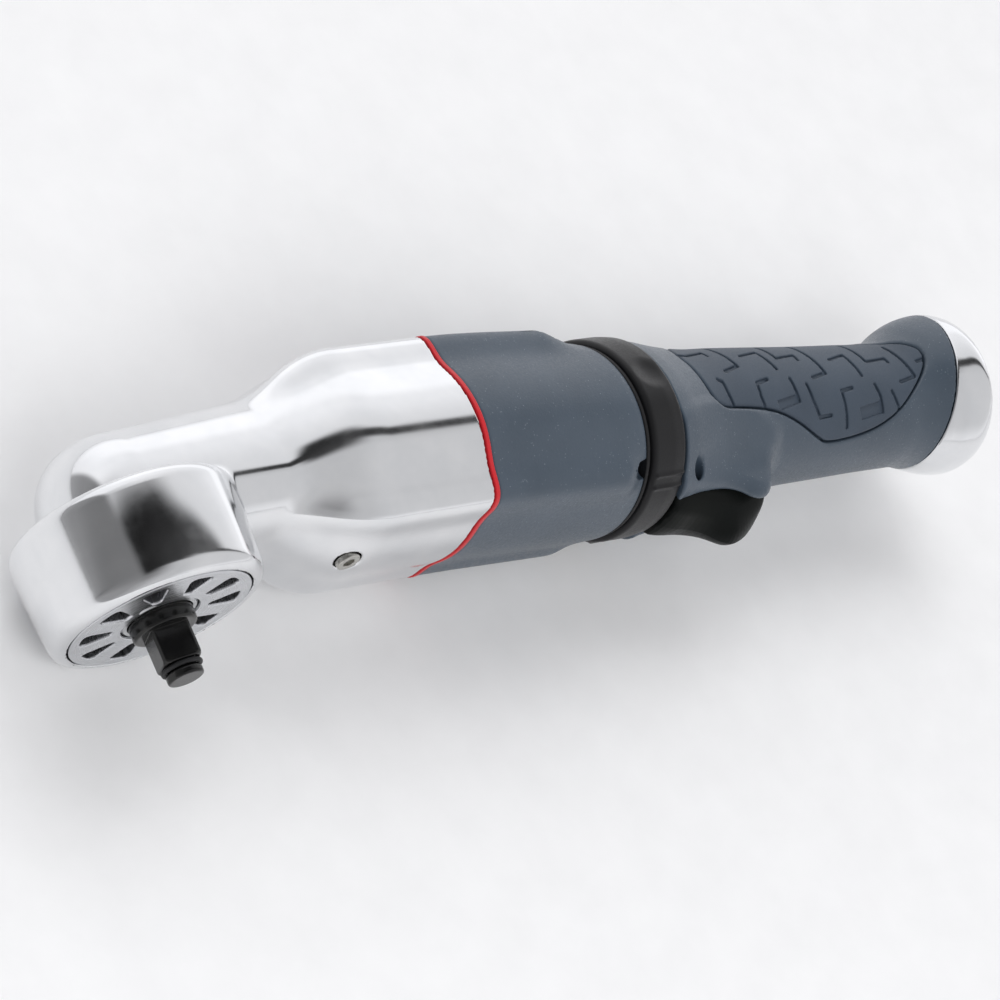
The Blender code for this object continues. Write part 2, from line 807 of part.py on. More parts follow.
def build_handle(tool, composite, overmould):
    handle = make_object("handle", handle_loft(36), composite, tool)
    spigot_form = rod(20.9, 151.6, 168.0, "X", (0.0, 0.0, RING_Z), 32)
    spigot = make_cutter("handle_spigot", spigot_form, tool)
    shroud_outline = (
        (165.4, -10.0),
        (165.4, -27.4),
        (172.0, -26.2),
        (180.0, -24.9),
        (189.0, -25.2),
        (196.0, -28.4),
        (200.5, -27.6),
        (204.0, -23.5),
        (207.0, -17.0),
        (207.0, -10.0),
    )
    shroud = make_cutter("trigger_shroud", prism(shroud_outline, -13.4, 13.4, "Y"), tool)
    join(handle, spigot, shroud)
    bore = turned(
        (
            (0.0, 140.0),
            (17.2, 140.0),
            (17.2, 163.0),
            (BORE_RADIUS, 163.0),
            (BORE_RADIUS, BORE_END_X),
            (EXHAUST_RADIUS, BORE_END_X),
            (EXHAUST_RADIUS, 300.0),
            (0.0, 300.0),
        ),
        "X",
        (0.0, 0.0, BORE_Z),
        steps=30,
    )
    sector = [(0.0, RING_Z)] + circle_outline(30.0, 6, 57.0, 123.0, (0.0, RING_Z))
    width = TRIGGER_HALF_WIDTH + 0.6
    pocket_outline = (
        (160.0, -60.0),
        (160.0, -21.2),
        (171.5, -21.2),
        (202.4, -15.5),
        (202.4, -60.0),
    )
    pocket = prism(pocket_outline, -width, width, "Y")
    boss_room = rod(5.6, -width, width, "Y", (PIVOT_X, 0.0, PIVOT_Z), 20)
    pin_hole = rod(PIVOT_RADIUS + GAP, -40.0, 40.0, "Y", (PIVOT_X, 0.0, PIVOT_Z), 16)
    cut(
        handle,
        make_cutter("handle_bore", bore, tool),
        make_cutter("ring_slot", prism(sector, 155.8, 161.6), tool),
        make_cutter("trigger_pocket", pocket, tool),
        make_cutter("boss_room", boss_room, tool),
        make_cutter("pin_hole", pin_hole, tool),
        make_cutter("plunger_hole", rod(4.5, -26.0, -8.0, "Z", (PLUNGER_X, 0.0, 0.0), 16), tool),
        make_cutter("cap_cut", tilted_block(False, -GAP / 2), tool),
    )
    for side, name in ((1, "near"), (-1, "far")):
        recess = make_cutter(f"grip_recess_{name}", grip_solid(side, -3.0, GAP), tool)
        cut(handle, recess)
        make_object(f"grip_panel_{name}", grip_solid(side, 0.0, 0.0), overmould, tool)


def build_end(tool, alloy, steel, felt):
    cap = make_object("end_cap", handle_loft(32), alloy, tool)
    centre = (0.0, 0.0, BORE_Z)
    hollow = turned(
        (
            (0.0, 250.0),
            (18.6, 250.0),
            (18.6, 288.6),
            (13.2, 288.6),
            (13.2, 300.0),
            (0.0, 300.0),
        ),
        "X",
        centre,
        steps=30,
    )
    slots = []
    for angle in ring_angles(8):
        place = (0.0, 15.8 * math.cos(angle), BORE_Z + 15.8 * math.sin(angle))
        slots.append(rod(1.7, 286.0, 296.0, "X", place, 10))
    cut(
        cap,
        make_cutter("cap_split", tilted_block(True, -GAP / 2), tool),
        make_cutter("cap_hollow", hollow, tool),
        make_cutter("cap_slots", merged(*slots), tool),
    )
    make_object("exhaust_muffler", tube(9.8, 13.0, 266.0, 281.5, "X", centre, 24), felt, tool)
    hexagon = circle_outline(INLET_CORNER_RADIUS, 7, 30, 390, (0.0, BORE_Z))[:-1]
    bushing = make_object("inlet_bushing", prism(hexagon, 283.0, INLET_END_X), steel, tool)
    neck = make_cutter("bushing_neck", rod(9.3, 258.6, 284.0, "X", centre, 24), tool)
    join(bushing, neck)
    cut(bushing, make_cutter("bushing_bore", rod(INLET_BORE, 250.0, 310.0, "X", centre, 24), tool))


def build_throttle(tool, steel, bronze, black_plastic, screw_steel):
    centre = (0.0, 0.0, BORE_Z)
    trigger_axis = make_pivot("trigger_axis", (PIVOT_X, 0.0, PIVOT_Z), tool)
    outline = (
        (166.6, -27.6),
        (167.2, -23.4),
        (166.9, -19.6),
        (168.6, -17.0),
        (171.5, -16.0),
        (174.4, -17.0),
        (176.4, -21.8),
        (199.2, -21.8),
        (201.0, -24.5),
        (200.6, -28.8),
        (197.6, -32.4),
        (193.0, -35.5),
        (187.5, -37.7),
        (182.0, -37.8),
        (176.0, -35.5),
        (170.5, -31.6),
    )
    half = TRIGGER_HALF_WIDTH
    trigger = make_object("trigger", prism(outline, -half, half, "Y"), black_plastic, trigger_axis)
    bevel = trigger.modifiers.new("edges", "BEVEL")
    bevel.width = 1.6 * MM
    bevel.segments = 2
    bevel.limit_method = "ANGLE"
    bevel.angle_limit = math.radians(60)
    eye = rod(PIVOT_RADIUS + GAP, -30.0, 30.0, "Y", (PIVOT_X, 0.0, PIVOT_Z), 16)
    cut(trigger, make_cutter("trigger_eye", eye, trigger_axis))
    pin = rod(PIVOT_RADIUS, -13.2, 13.2, "Y", (PIVOT_X, 0.0, PIVOT_Z), 16)
    make_object("trigger_pin", pin, screw_steel, tool)
    plunger_axis = make_pivot("plunger_axis", (PLUNGER_X, 0.0, -13.0), tool)
    top = BORE_Z - STEM_RADIUS - GAP
    plunger = rod(PLUNGER_RADIUS, -21.3, top, "Z", (PLUNGER_X, 0.0, 0.0), 16)
    make_object("throttle_plunger", plunger, steel, plunger_axis)
    collar = tube(2.3, 4.2, -17.0, -12.4, "Z", (PLUNGER_X, 0.0, 0.0), 20)
    make_object("plunger_bushing", collar, bronze, tool)
    valve_axis = make_pivot("valve_axis", (SEAT_X, 0.0, BORE_Z - VALVE_RADIUS), tool)
    profile = (
        (0.0, 186.0),
        (STEM_RADIUS, 186.0),
        (STEM_RADIUS, SEAT_X - 2.0),
        (2.6, SEAT_X),
        (VALVE_RADIUS, SEAT_X),
        (VALVE_RADIUS, SEAT_X + 2.4),
        (0.0, SEAT_X + 2.4),
    )
    make_object("throttle_valve", turned(profile, "X", centre, 24), steel, valve_axis)
    seat = tube(5.4, 9.4, SEAT_X - 3.3, SEAT_X - GAP, "X", centre, 24)
    make_object("throttle_seat", seat, bronze, tool)
    build_spring(tool, steel)
    screen = make_object("inlet_screen", rod(9.2, 256.6, 258.2, "X", centre, 24), steel, tool)
    holes = []
    for t in ring_angles(8):
        place = (0.0, 5.2 * math.cos(t), BORE_Z + 5.2 * math.sin(t))
        holes.append(rod(1.2, 250.0, 262.0, "X", place, 8))
    cut(screen, make_cutter("screen_holes", merged(*holes), tool))


def build_spring(tool, steel):
    """A coil spring whose path is a helix between the valve and the inlet screen."""
    turns, per_turn, wire, radius = 5, 10, 0.7, 6.2
    start, stop = SEAT_X + 2.4 + GAP + wire, 256.6 - GAP - wire
    sides = 5
    sections = []
    for i in range(turns * per_turn + 1):
        share = i / (turns * per_turn)
        angle = 2 * math.pi * turns * share
        middle = Vector((start + (stop - start) * share, 0.0, BORE_Z))
        outward = Vector((0.0, math.cos(angle), math.sin(angle)))
        ring = []
        for t in ring_angles(sides):
            sideways = Vector((wire * math.sin(t), 0.0, 0.0))
            ring.append(middle + outward * (radius + wire * math.cos(t)) + sideways)
        sections.append(ring)
    make_object("throttle_spring", lofted(sections), steel, tool)


def main():
    clear_scene()
    tool = make_empty("tool", (0.0, 0.0, 0.0), None)
    tool.rotation_euler = (math.radians(-90), 0.0, 0.0)
    middle_x = (FRONT_X + INLET_END_X) / 2
    middle_z = (DRIVE_TIP_Z + TOP_Z) / 2
    tool.location = Vector((-middle_x, -middle_z, SIDE_Y)) * MM

    alloy = make_material("polished_aluminium", (0.78, 0.79, 0.80), 1.0, 0.12)
    composite = make_material("grey_composite", (0.11, 0.13, 0.15), 0.0, 0.45)
    overmould = make_material("grey_overmould", (0.10, 0.12, 0.14), 0.0, 0.6)
    ring_plastic = make_material("black_ring", (0.02, 0.02, 0.022), 0.0, 0.4)
    black_plastic = make_material("black_trigger", (0.012, 0.013, 0.012), 0.0, 0.35)
    gasket_red = make_material("red_gasket", (0.55, 0.02, 0.02), 0.0, 0.5)
    rubber = make_material("black_rubber", (0.01, 0.01, 0.01), 0.0, 0.6)
    steel = make_material("ground_steel", (0.55, 0.56, 0.57), 1.0, 0.3)
    dark_steel = make_material("oxide_steel", (0.06, 0.06, 0.06), 0.9, 0.35)
    screw_steel = make_material("screw_steel", (0.2, 0.2, 0.2), 1.0, 0.35)
    bronze = make_material("bronze", (0.55, 0.35, 0.15), 1.0, 0.4)
    felt = make_material("felt", (0.35, 0.34, 0.3), 0.0, 0.95)

    build_hammer_case(tool, alloy)
    build_lube_plug(tool, screw_steel)
    build_face_plate(tool, alloy, bronze)
    build_drive(tool, steel, dark_steel, rubber)
    build_anvil(tool, steel, bronze)
    train = make_pivot("train_axis", (100.0, 0.0, 0.0), tool)
    build_hammers(train, steel, dark_steel)
    build_motor(tool, train, steel, dark_steel, bronze, composite)
    build_motor_housing(tool, composite, gasket_red, rubber, screw_steel)
    build_reverse_control(tool, ring_plastic, steel)
    build_handle(tool, composite, overmould)
    build_end(tool, alloy, screw_steel, felt)
    build_throttle(tool, steel, bronze, black_plastic, screw_steel)


main()
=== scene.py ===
"""Looks for the right-angle air impact wrench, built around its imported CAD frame.

Shapes are written in the tool's own frame, in millimetres: X runs from the drive axis to the air
inlet, Z points away from the square drive, and -Y points up from the floor that the tool lies on.
Each outer shape is a field, negative inside, whose zero surface skin() meshes finely. Round
pieces are turned from a profile.
"""

import json
import math

import bpy
import numpy as np
from mathutils import Matrix, Vector


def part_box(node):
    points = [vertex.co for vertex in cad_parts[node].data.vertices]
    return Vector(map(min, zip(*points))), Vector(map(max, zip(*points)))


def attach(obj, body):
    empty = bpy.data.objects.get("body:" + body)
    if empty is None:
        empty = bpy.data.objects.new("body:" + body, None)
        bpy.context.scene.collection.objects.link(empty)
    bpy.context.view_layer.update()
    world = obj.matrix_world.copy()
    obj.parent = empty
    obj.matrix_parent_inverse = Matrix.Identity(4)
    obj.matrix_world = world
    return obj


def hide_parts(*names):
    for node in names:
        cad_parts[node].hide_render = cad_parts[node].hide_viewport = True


MM = 0.001

# Camera: its place in the tool's frame, angles in degrees, and its lens and sensor
CAMERA_PLACE = (-559.7, -678.5, -295.4)
CAMERA_AZIMUTH = 44.91
CAMERA_ELEVATION = 16.38
CAMERA_ROLL = -24.9
CAMERA_LENS = 142.67
SENSOR_WIDTH = 36.0

# Round stretches are given as (radius, low, high), where low and high lie along their own axis

# Drive and drum
DRIVE_TIP_Z = -45.4
DRIVE_SQUARE = 9.525
DRIVE_TURN = -22.0
DRIVE_SQUARE_Z = (-41.7, -32.0)
PILOT = (4.5, DRIVE_TIP_Z, -43.2)
STEM = (3.7, -44.0, -33.0)
COLLAR = (8.0, -33.0, -19.9)
LOWER_SHAFT = (6.6, -25.0, -9.0)
UPPER_SHAFT = (4.8, -12.0, 7.8)
DRUM_RADIUS = 27.85
FACE_Z = -29.7
DRUM_TOP_Z = -2.5
PLATE_RADIUS = 22.85
PLATE_BACK_Z = -26.2
PLATE_BORE_RADIUS = 9.9
PETALS = 10
PETAL_REACH = (12.4, 20.3)
PLATE_NOTCHES = (40.0, 220.0)
PLATE_SEAT = (23.2, -40.0, -25.9)
DRUM_CAVITY = (22.4, -40.0, -4.8)
SPINDLE_BORE = (8.0, -20.0, 9.4)
# Neck
NECK_HALF_WIDTH = 18.5
NECK_BASE_Z = -3.0
NECK_POWER = 2.3
NECK_END_X = 76.0
NECK_HEIGHT_UP = 20.0
NECK_HEIGHT_DOWN = 13.0
ANVIL_BORE = (10.3, 3.0, 60.0)
# Case and motor housing: lobes as (degrees, height, width in degrees, stretch of x that they fade in)
BARREL_RADIUS = 27.1
NOSE_X = 66.0
NOSE_REACH = 31.0
CASE_END_X = 95.1
HOUSING_START_X = 96.7
HOUSING_END_X = 151.2
HAMMER_BORE = (22.8, 56.0, 120.0)
MOTOR_BORE = (22.7, 90.0, 143.2)
REAR_BORE = (14.0, 140.0, 160.0)
GASKET_BORE = (23.2, 80.0, 110.0)
UPPER_LOBES = ((50.5, 129.5), 4.5, 10.5, (134.0, 149.0))
LOWER_LOBES = ((-47.0, -133.0), 3.7, 12.0, (142.0, 151.0))
# Screws: each one's degrees around the barrel and distance from its axis
SCREWS = ((50.5, 27.2), (129.5, 27.2), (-47.0, 25.9), (-133.0, 25.9))
SCREW_RADIUS = 2.0
SCREW_HEAD_RADIUS = 2.3
SCREW_HEAD_X = (126.3, 130.0)
SCREW_CLEARANCE = 0.3
PLUG_X = 58.5
PLUG_TURN = 174.0
PLUG = (3.15, 23.2, 25.0)
PLUG_HOLE = (3.5, 20.0, 40.0)
# Reverse ring
RING_Z = -1.3
RING_X = (152.9, 165.1)
RING_RADIUS = 26.5
RING_BORE = 21.3
RIDGE_DEGREES = (-49.5, -57.0)
DIMPLE_X = 160.4
DIMPLE_DEGREES = 12.0
DIMPLE_DISTANCE = 38.2
DIMPLE_RADIUS = 12.9
TAB_X = (156.4, 161.0)
TAB_HALF_WIDTH = 3.4
TAB_REACH = (13.6, 23.0)
# Handle: stations of x, half width, half height and centre height
HANDLE = (
    (165.4, 25.3, 25.6, -1.4),
    (170.0, 24.2, 24.8, -1.4),
    (176.0, 22.4, 23.4, -1.3),
    (184.0, 20.4, 21.8, -1.2),
    (193.0, 19.0, 20.6, -1.2),
    (202.0, 18.3, 20.2, -1.3),
    (218.0, 17.5, 19.4, -1.8),
    (234.0, 16.9, 18.7, -2.5),
    (250.0, 16.5, 18.1, -3.1),
    (262.0, 16.3, 17.8, -3.6),
    (268.0, 16.8, 17.9, -3.6),
    (273.0, 18.2, 19.0, -3.2),
    (278.0, 20.1, 20.8, -2.8),
    (284.0, 21.7, 22.4, -2.8),
    (288.5, 22.3, 22.7, -2.9),
    (292.0, 21.4, 21.8, -2.9),
)
HANDLE_START_X = 165.4
HANDLE_END_X = 292.0
SPIGOT = (20.9, 151.6, 168.0)
VALVE_BORE = (17.2, 140.0, 163.0)
AIR_BORE = (9.7, 150.0, 270.0)
INLET_SEAT = (13.4, 264.0, 300.0)
PLUNGER_X = 190.5
PLUNGER_HOLE = (4.5, -26.0, -8.0)
TAB_SLOT_X = (155.8, 161.6)
TAB_SLOT_DEGREES = 33.0
TAB_SLOT_RISE = 0.545
# End cap and air inlet
CAP_PLANE = (280.8, -2.9, math.radians(19))
CAP_GAP = 0.15
CAP_BORE = (18.6, 240.0, 288.6)
CAP_MOUTH = (13.2, 280.0, 300.0)
EXHAUST_SLOTS = 8
EXHAUST_CIRCLE = 15.8
EXHAUST_RADIUS = 1.7
EXHAUST_START_X = 286.0
BORE_Z = -2.2
INLET_END_X = 297.0
INLET_HEXAGON = 10.48
INLET_HEXAGON_X = 283.0
INLET_BODY = (9.3, 258.6, 284.0)
INLET_RADIUS = 5.75
THREAD_PITCH = 1.41
THREAD_DEPTH = 0.4
# Grip panel: its outline and the strokes of its tread, as x and degrees up from the handle's side
MM_PER_DEGREE = 0.315
GRIP_DEPTH = 1.6
TREAD_DEPTH = 0.8
GRIP_OUTLINE = (
    (181.7, 34), (182.1, 24), (182.5, 13), (183.3, -1), (184.9, -9), (187.9, -13), (191.7, -14),
    (203.8, -17), (211.1, -23), (216.5, -31), (220.8, -39), (225.0, -47), (228.5, -51),
    (236.9, -50), (244.9, -46), (251.1, -40), (257.5, -30), (263.6, -16), (269.4, -1),
    (272.5, 10), (273.4, 20), (272.5, 29), (268.9, 45), (260.5, 58), (250.0, 67), (236.0, 72),
    (216.0, 74), (200.0, 71), (190.0, 64), (184.5, 54),
)
TREAD = (
    ((183.0, 36), (185.7, 36), (194.4, 44), (194.6, 38)),
    ((200.2, 58), (200.4, 46), (201.4, 22), (195.0, 17)),
    ((206.5, 35), (214.3, 41), (215.3, 17)),
    ((219.2, 55), (219.1, 30), (226.9, 34), (226.6, 27)),
    ((231.8, 58), (232.1, 36), (233.0, 10), (227.0, 6)),
    ((238.6, 25), (245.6, 31), (246.5, 5)),
    ((251.2, 54), (252.0, 20), (260.2, 23), (260.4, 18)),
    ((264.8, 40), (266.8, -1), (260.8, -4)),
    ((270.2, 12), (273.0, 11)),
    ((189.4, 9), (190.9, 7), (190.8, -2), (191.4, -14)),
    ((209.0, 7), (204.2, 4), (203.5, -7), (203.8, -17)),
    ((217.9, 6), (218.0, -14)),
    ((223.2, 0), (223.4, -14), (224.8, -29), (229.4, -28)),
    ((240.4, -6), (235.8, -8), (235.5, -40)),
    ((249.9, -5), (250.6, -15), (250.5, -30)),
    ((255.9, -12), (257.6, -32)),
)
TREAD_WEDGES = (
    ((217.9, -9), (217.9, -14.5), (210.0, -19), (209.6, -13)),
    ((250.3, -21), (250.4, -30), (242.0, -34), (241.6, -25)),
)
# Trigger, in x and z
PIVOT = (171.5, -20.5)
PIVOT_RADIUS = 1.8
PIVOT_BOSS_RADIUS = 5.6
TRIGGER_HALF_WIDTH = 9.0
TRIGGER_OUTLINE = (
    (166.2, -27.6), (166.9, -23.4), (166.9, -19.6), (168.6, -17.2), (171.5, -16.2), (174.4, -17.2),
    (176.6, -20.8), (180.0, -21.9), (190.0, -21.9), (198.6, -22.0), (200.8, -24.0), (201.4, -27.6),
    (200.0, -31.0), (196.4, -34.0), (191.8, -36.2), (187.4, -36.9), (183.6, -35.4), (179.4, -32.6),
    (174.6, -30.6), (169.6, -29.6),
)
SHROUD_HALF_WIDTH = 13.3
SHROUD_OUTLINE = (
    (164.0, -10.0), (164.0, -24.0), (168.0, -23.4), (172.0, -23.5), (178.0, -24.2), (184.0, -25.2),
    (188.4, -26.8), (191.6, -28.8), (195.2, -29.6), (198.6, -27.8), (201.2, -23.4), (203.0, -17.0),
    (203.0, -10.0),
)
POCKET_OUTLINE = ((150.0, -60.0), (150.0, -21.2), (171.5, -21.2), (202.4, -15.5), (202.4, -60.0))

FINE = 1.0
TURNED_SIDES = 96
SAMPLE_REACH = 0.03
TINY = 1e-6


# ---- fields


def smooth_step(value):
    """Rises smoothly from 0 to 1."""
    value = np.clip(value, 0.0, 1.0)
    return value * value * (3.0 - 2.0 * value)


def least(a, b, round_over):
    """The union of two fields, with a fillet."""
    share = np.clip(0.5 + 0.5 * (b - a) / round_over, 0.0, 1.0)
    return b + (a - b) * share - round_over * share * (1.0 - share)


def most(a, b, round_over):
    """What two fields share, with a rounded edge."""
    return -least(-a, -b, round_over)


def without(a, b, round_over=0.3):
    """The first field less the second, with a rounded edge."""
    return most(a, -b, round_over)


def slab(value, low, high):
    """What lies between two flat ends."""
    return np.maximum(low - value, value - high)


def rod(radial, height, radius, low, high, round_over=0.01):
    """A cylinder, from the distance to its axis and the height along it."""
    return most(radial - radius, slab(height, low, high), round_over)


def about_x(y, z, centre=0.0):
    """The distance to an axis along X."""
    return np.sqrt(y * y + (z - centre) ** 2)


def hexagon(u, v, half_width):
    """A hexagon with a flat to each side along u."""
    u, v = np.abs(u), np.abs(v)
    return np.maximum(u, u / 2 + v * math.sqrt(3) / 2) - half_width


def spline(value, stations, column):
    """Reads one column of a table of stations, along a smooth curve through them."""
    places = np.array([row[0] for row in stations])
    heights = np.array([row[column] for row in stations])
    slopes = np.gradient(heights, places)
    k = np.clip(np.searchsorted(places, value) - 1, 0, len(places) - 2)
    span = places[k + 1] - places[k]
    t = np.clip((value - places[k]) / span, 0.0, 1.0)
    start = heights[k] * (1 + 2 * t) * (1 - t) ** 2 + slopes[k] * span * t * (1 - t) ** 2
    return start + heights[k + 1] * t * t * (3 - 2 * t) + slopes[k + 1] * span * t * t * (t - 1)


def rounded_outline(points, per_side):
    """A closed outline with more points, on a smooth curve through the given ones."""
    made = []
    count = len(points)
    for i in range(count):
        a, b, c, d = (np.array(points[(i + k - 1) % count], float) for k in range(4))
        for step in range(per_side):
            t = step / per_side
            made.append(
                0.5 * (2 * b + (c - a) * t + (2 * a - 5 * b + 4 * c - d) * t**2
                       + (3 * b - a - 3 * c + d) * t**3)
            )
    return made


def outline_field(points, u, v):
    """The distance to a closed outline, negative inside it."""
    nearest = np.inf
    inside = np.zeros(np.broadcast(u, v).shape, bool)
    for (au, av), (bu, bv) in zip(points, [*points[1:], points[0]]):
        du, dv = bu - au, bv - av
        t = np.clip(((u - au) * du + (v - av) * dv) / (du * du + dv * dv), 0.0, 1.0)
        nearest = np.minimum(nearest, (u - au - t * du) ** 2 + (v - av - t * dv) ** 2)
        if abs(dv) > TINY:
            crosses = ((av > v) != (bv > v)) & (u < au + (v - av) * du / dv)
            inside = inside ^ crosses
    return np.where(inside, -1.0, 1.0) * np.sqrt(nearest)


def line_field(points, u, v):
    """The distance to an open line through points."""
    nearest = np.inf
    for (au, av), (bu, bv) in zip(points, points[1:]):
        du, dv = bu - au, bv - av
        t = np.clip(((u - au) * du + (v - av) * dv) / (du * du + dv * dv), 0.0, 1.0)
        nearest = np.minimum(nearest, (u - au - t * du) ** 2 + (v - av - t * dv) ** 2)
    return np.sqrt(nearest)


def where_near(field, reach, find, *coordinates):
    """A costly field, worked out only where another one is within reach of its surface."""
    shape = np.broadcast(field, *coordinates).shape
    near = np.abs(np.broadcast_to(field, shape)) < reach
    found = np.full(shape, reach)
    found[near] = find(*(np.broadcast_to(c, shape)[near] for c in coordinates))
    return found


def barrel(x, y, z, extra=0.0):
    """The outer form of the case and motor housing: a barrel with four screw lobes and a round nose."""
    late = smooth_step((x - HOUSING_START_X) / (HOUSING_END_X - HOUSING_START_X))
    up = z - RING_Z * late
    radial = np.maximum(np.sqrt(y * y + up * up), TINY)
    angle = np.degrees(np.arctan2(up, y))
    radius = BARREL_RADIUS + extra - 1.2 * late
    radius = radius - (1.8 - 1.4 * late) * np.maximum(0.0, -up / radial) ** 2
    for places, height, width, (fade_start, fade_end) in (UPPER_LOBES, LOWER_LOBES):
        fade = smooth_step((fade_end - x) / (fade_end - fade_start))
        for place in places:
            apart = (angle - place + 180.0) % 360.0 - 180.0
            radius = radius + fade * height * np.exp(-((apart / width) ** 2))
    nose = np.maximum(0.0, NOSE_X - x)
    size = np.sqrt((radial / radius) ** 2 + (nose / NOSE_REACH) ** 2)
    slope = np.sqrt((radial / radius**2) ** 2 + (nose / NOSE_REACH**2) ** 2) / size
    return (size - 1.0) / slope


def neck(x, y, z):
    """The neck between drum and case: superelliptical across, and a dome in front."""
    back = np.maximum(0.0, x)
    width = NECK_HALF_WIDTH + 0.04 * back
    up = z - NECK_BASE_Z
    tall = np.where(up > 0.0, NECK_HEIGHT_UP + 0.085 * back, NECK_HEIGHT_DOWN)
    side = np.sqrt((y / width) ** 2 + (np.minimum(0.0, x) / NECK_HALF_WIDTH) ** 2) + TINY
    rise = np.abs(up) / tall + TINY
    size = (side**NECK_POWER + rise**NECK_POWER) ** (1.0 / NECK_POWER)
    lean = NECK_POWER - 1.0
    slope = np.sqrt((side**lean / width) ** 2 + (rise**lean / tall) ** 2) / size**lean
    return (size - 1.0) / slope


def drum(x, y, z):
    """The drum around the drive: slightly crowned, with round edges."""
    radial = np.sqrt(x * x + y * y)
    side = radial - (DRUM_RADIUS - 0.0024 * (z + 7.0) ** 2)
    return most(most(side, FACE_Z - z, 3.8), z - DRUM_TOP_Z, 3.6)


def plug_places(x, y, z):
    """Distance from the lubrication plug's axis, and height along it."""
    turn = math.radians(PLUG_TURN)
    ay, az = -math.sin(turn), math.cos(turn)
    return np.sqrt((x - PLUG_X) ** 2 + (y * az - z * ay) ** 2), y * ay + z * az


def screw_centre(number):
    """The y and z of one case screw's axis."""
    degrees, distance = SCREWS[number - 1]
    return distance * math.cos(math.radians(degrees)), distance * math.sin(math.radians(degrees))


def screw_rods(x, y, z, radius, low, high):
    """One cylinder around each case screw's axis."""
    found = np.inf
    for number in range(1, len(SCREWS) + 1):
        cy, cz = screw_centre(number)
        found = np.minimum(found, rod(np.sqrt((y - cy) ** 2 + (z - cz) ** 2), x, radius, low, high))
    return found


def hammer_case(x, y, z):
    """The polished casting: drum, neck and the barrel's front half."""
    short_neck = np.maximum(neck(x, y, z), x - NECK_END_X)
    outside = least(least(barrel(x, y, z), short_neck, 5.0), drum(x, y, z), 1.3)
    outside = most(outside, x - CASE_END_X, 0.7)
    about_drive = np.sqrt(x * x + y * y)
    about_motor = about_x(y, z)
    outside = without(outside, rod(about_drive, z, *PLATE_SEAT), 0.5)
    plug_radial, plug_height = plug_places(x, y, z)
    outside = without(outside, rod(plug_radial, plug_height, *PLUG_HOLE), 0.6)
    hollow = np.minimum(rod(about_drive, z, *DRUM_CAVITY), rod(about_drive, z, *SPINDLE_BORE))
    hollow = np.minimum(hollow, rod(about_motor, x, *ANVIL_BORE))
    hollow = np.minimum(hollow, rod(about_motor, x, *HAMMER_BORE))
    screw_holes = screw_rods(x, y, z, SCREW_RADIUS + SCREW_CLEARANCE, 78.0, 120.0)
    hollow = np.minimum(hollow, screw_holes)
    return without(outside, hollow)


def motor_housing(x, y, z):
    """The composite housing behind the case, with the screws' lobes."""
    outside = most(barrel(x, y, z), slab(x, HOUSING_START_X, HOUSING_END_X), 0.7)
    rear_bevel = (about_x(y, z, RING_Z) - 25.4 - 0.45 * (HOUSING_END_X - x)) / 1.1
    outside = most(outside, rear_bevel, 0.8)
    about_motor = about_x(y, z)
    hollow = np.minimum(rod(about_motor, x, *MOTOR_BORE), rod(about_motor, x, *REAR_BORE))
    screw_holes = screw_rods(x, y, z, SCREW_RADIUS + SCREW_CLEARANCE, 90.0, 128.0)
    hollow = np.minimum(hollow, screw_holes)
    sockets = screw_rods(x, y, z, SCREW_HEAD_RADIUS + 0.2, 126.0, 160.0)
    return without(without(outside, hollow), sockets, 0.4)


def case_gasket(x, y, z):
    """The red band between case and housing, a little proud of both."""
    middle = (CASE_END_X + HOUSING_START_X) / 2
    band = most(barrel(x, y, z, 0.24), np.abs(x - middle) - 0.73, 0.4)
    return without(band, rod(about_x(y, z), x, *GASKET_BORE))


def face_plate(x, y, z):
    """The vented plate around the drive, with its petals and two half-round notches."""
    radial = np.sqrt(x * x + y * y)
    plate = most(radial - PLATE_RADIUS, slab(z, FACE_Z, PLATE_BACK_Z), 0.35)
    plate = without(plate, radial - PLATE_BORE_RADIUS, 0.5)
    angle = np.arctan2(y, x)
    step = 2 * math.pi / PETALS
    apart = (angle % step) - step / 2
    along, across = radial * np.cos(apart), np.abs(radial * np.sin(apart))
    petal = most((across - 1.0 - 0.30 * (along - 12.2)) / 1.04, PETAL_REACH[0] - along, 0.8)
    petal = most(petal, radial - PETAL_REACH[1], 2.2)
    plate = without(plate, petal, 0.6)
    for degrees in PLATE_NOTCHES:
        cx = PLATE_BORE_RADIUS * math.cos(math.radians(degrees))
        cy = PLATE_BORE_RADIUS * math.sin(math.radians(degrees))
        plate = without(plate, np.sqrt((x - cx) ** 2 + (y - cy) ** 2) - 2.2, 0.4)
    return plate


def drive_spindle(x, y, z):
    """The square drive with its pilot tip, collar and shaft."""
    radial = np.sqrt(x * x + y * y)
    turn = math.radians(DRIVE_TURN)
    a = np.abs(x * math.cos(turn) + y * math.sin(turn))
    b = np.abs(y * math.cos(turn) - x * math.sin(turn))
    half = DRIVE_SQUARE / 2
    square = most(np.maximum(a, b) - half, (a + b) / math.sqrt(2) - half * 1.31, 0.15)
    square = most(square, slab(z, *DRIVE_SQUARE_Z), 0.5)
    square = most(square, radial - (5.6 + 0.9 * (z - DRIVE_SQUARE_Z[0])), 0.4)
    pilot = rod(radial, z, *PILOT, 0.7)
    stem = rod(radial, z, *STEM)
    collar = rod(radial, z, *COLLAR, 0.9)
    shaft = np.minimum(rod(radial, z, *LOWER_SHAFT), rod(radial, z, *UPPER_SHAFT))
    return np.minimum(np.minimum(np.minimum(square, pilot), stem), least(collar, shaft, 0.4))


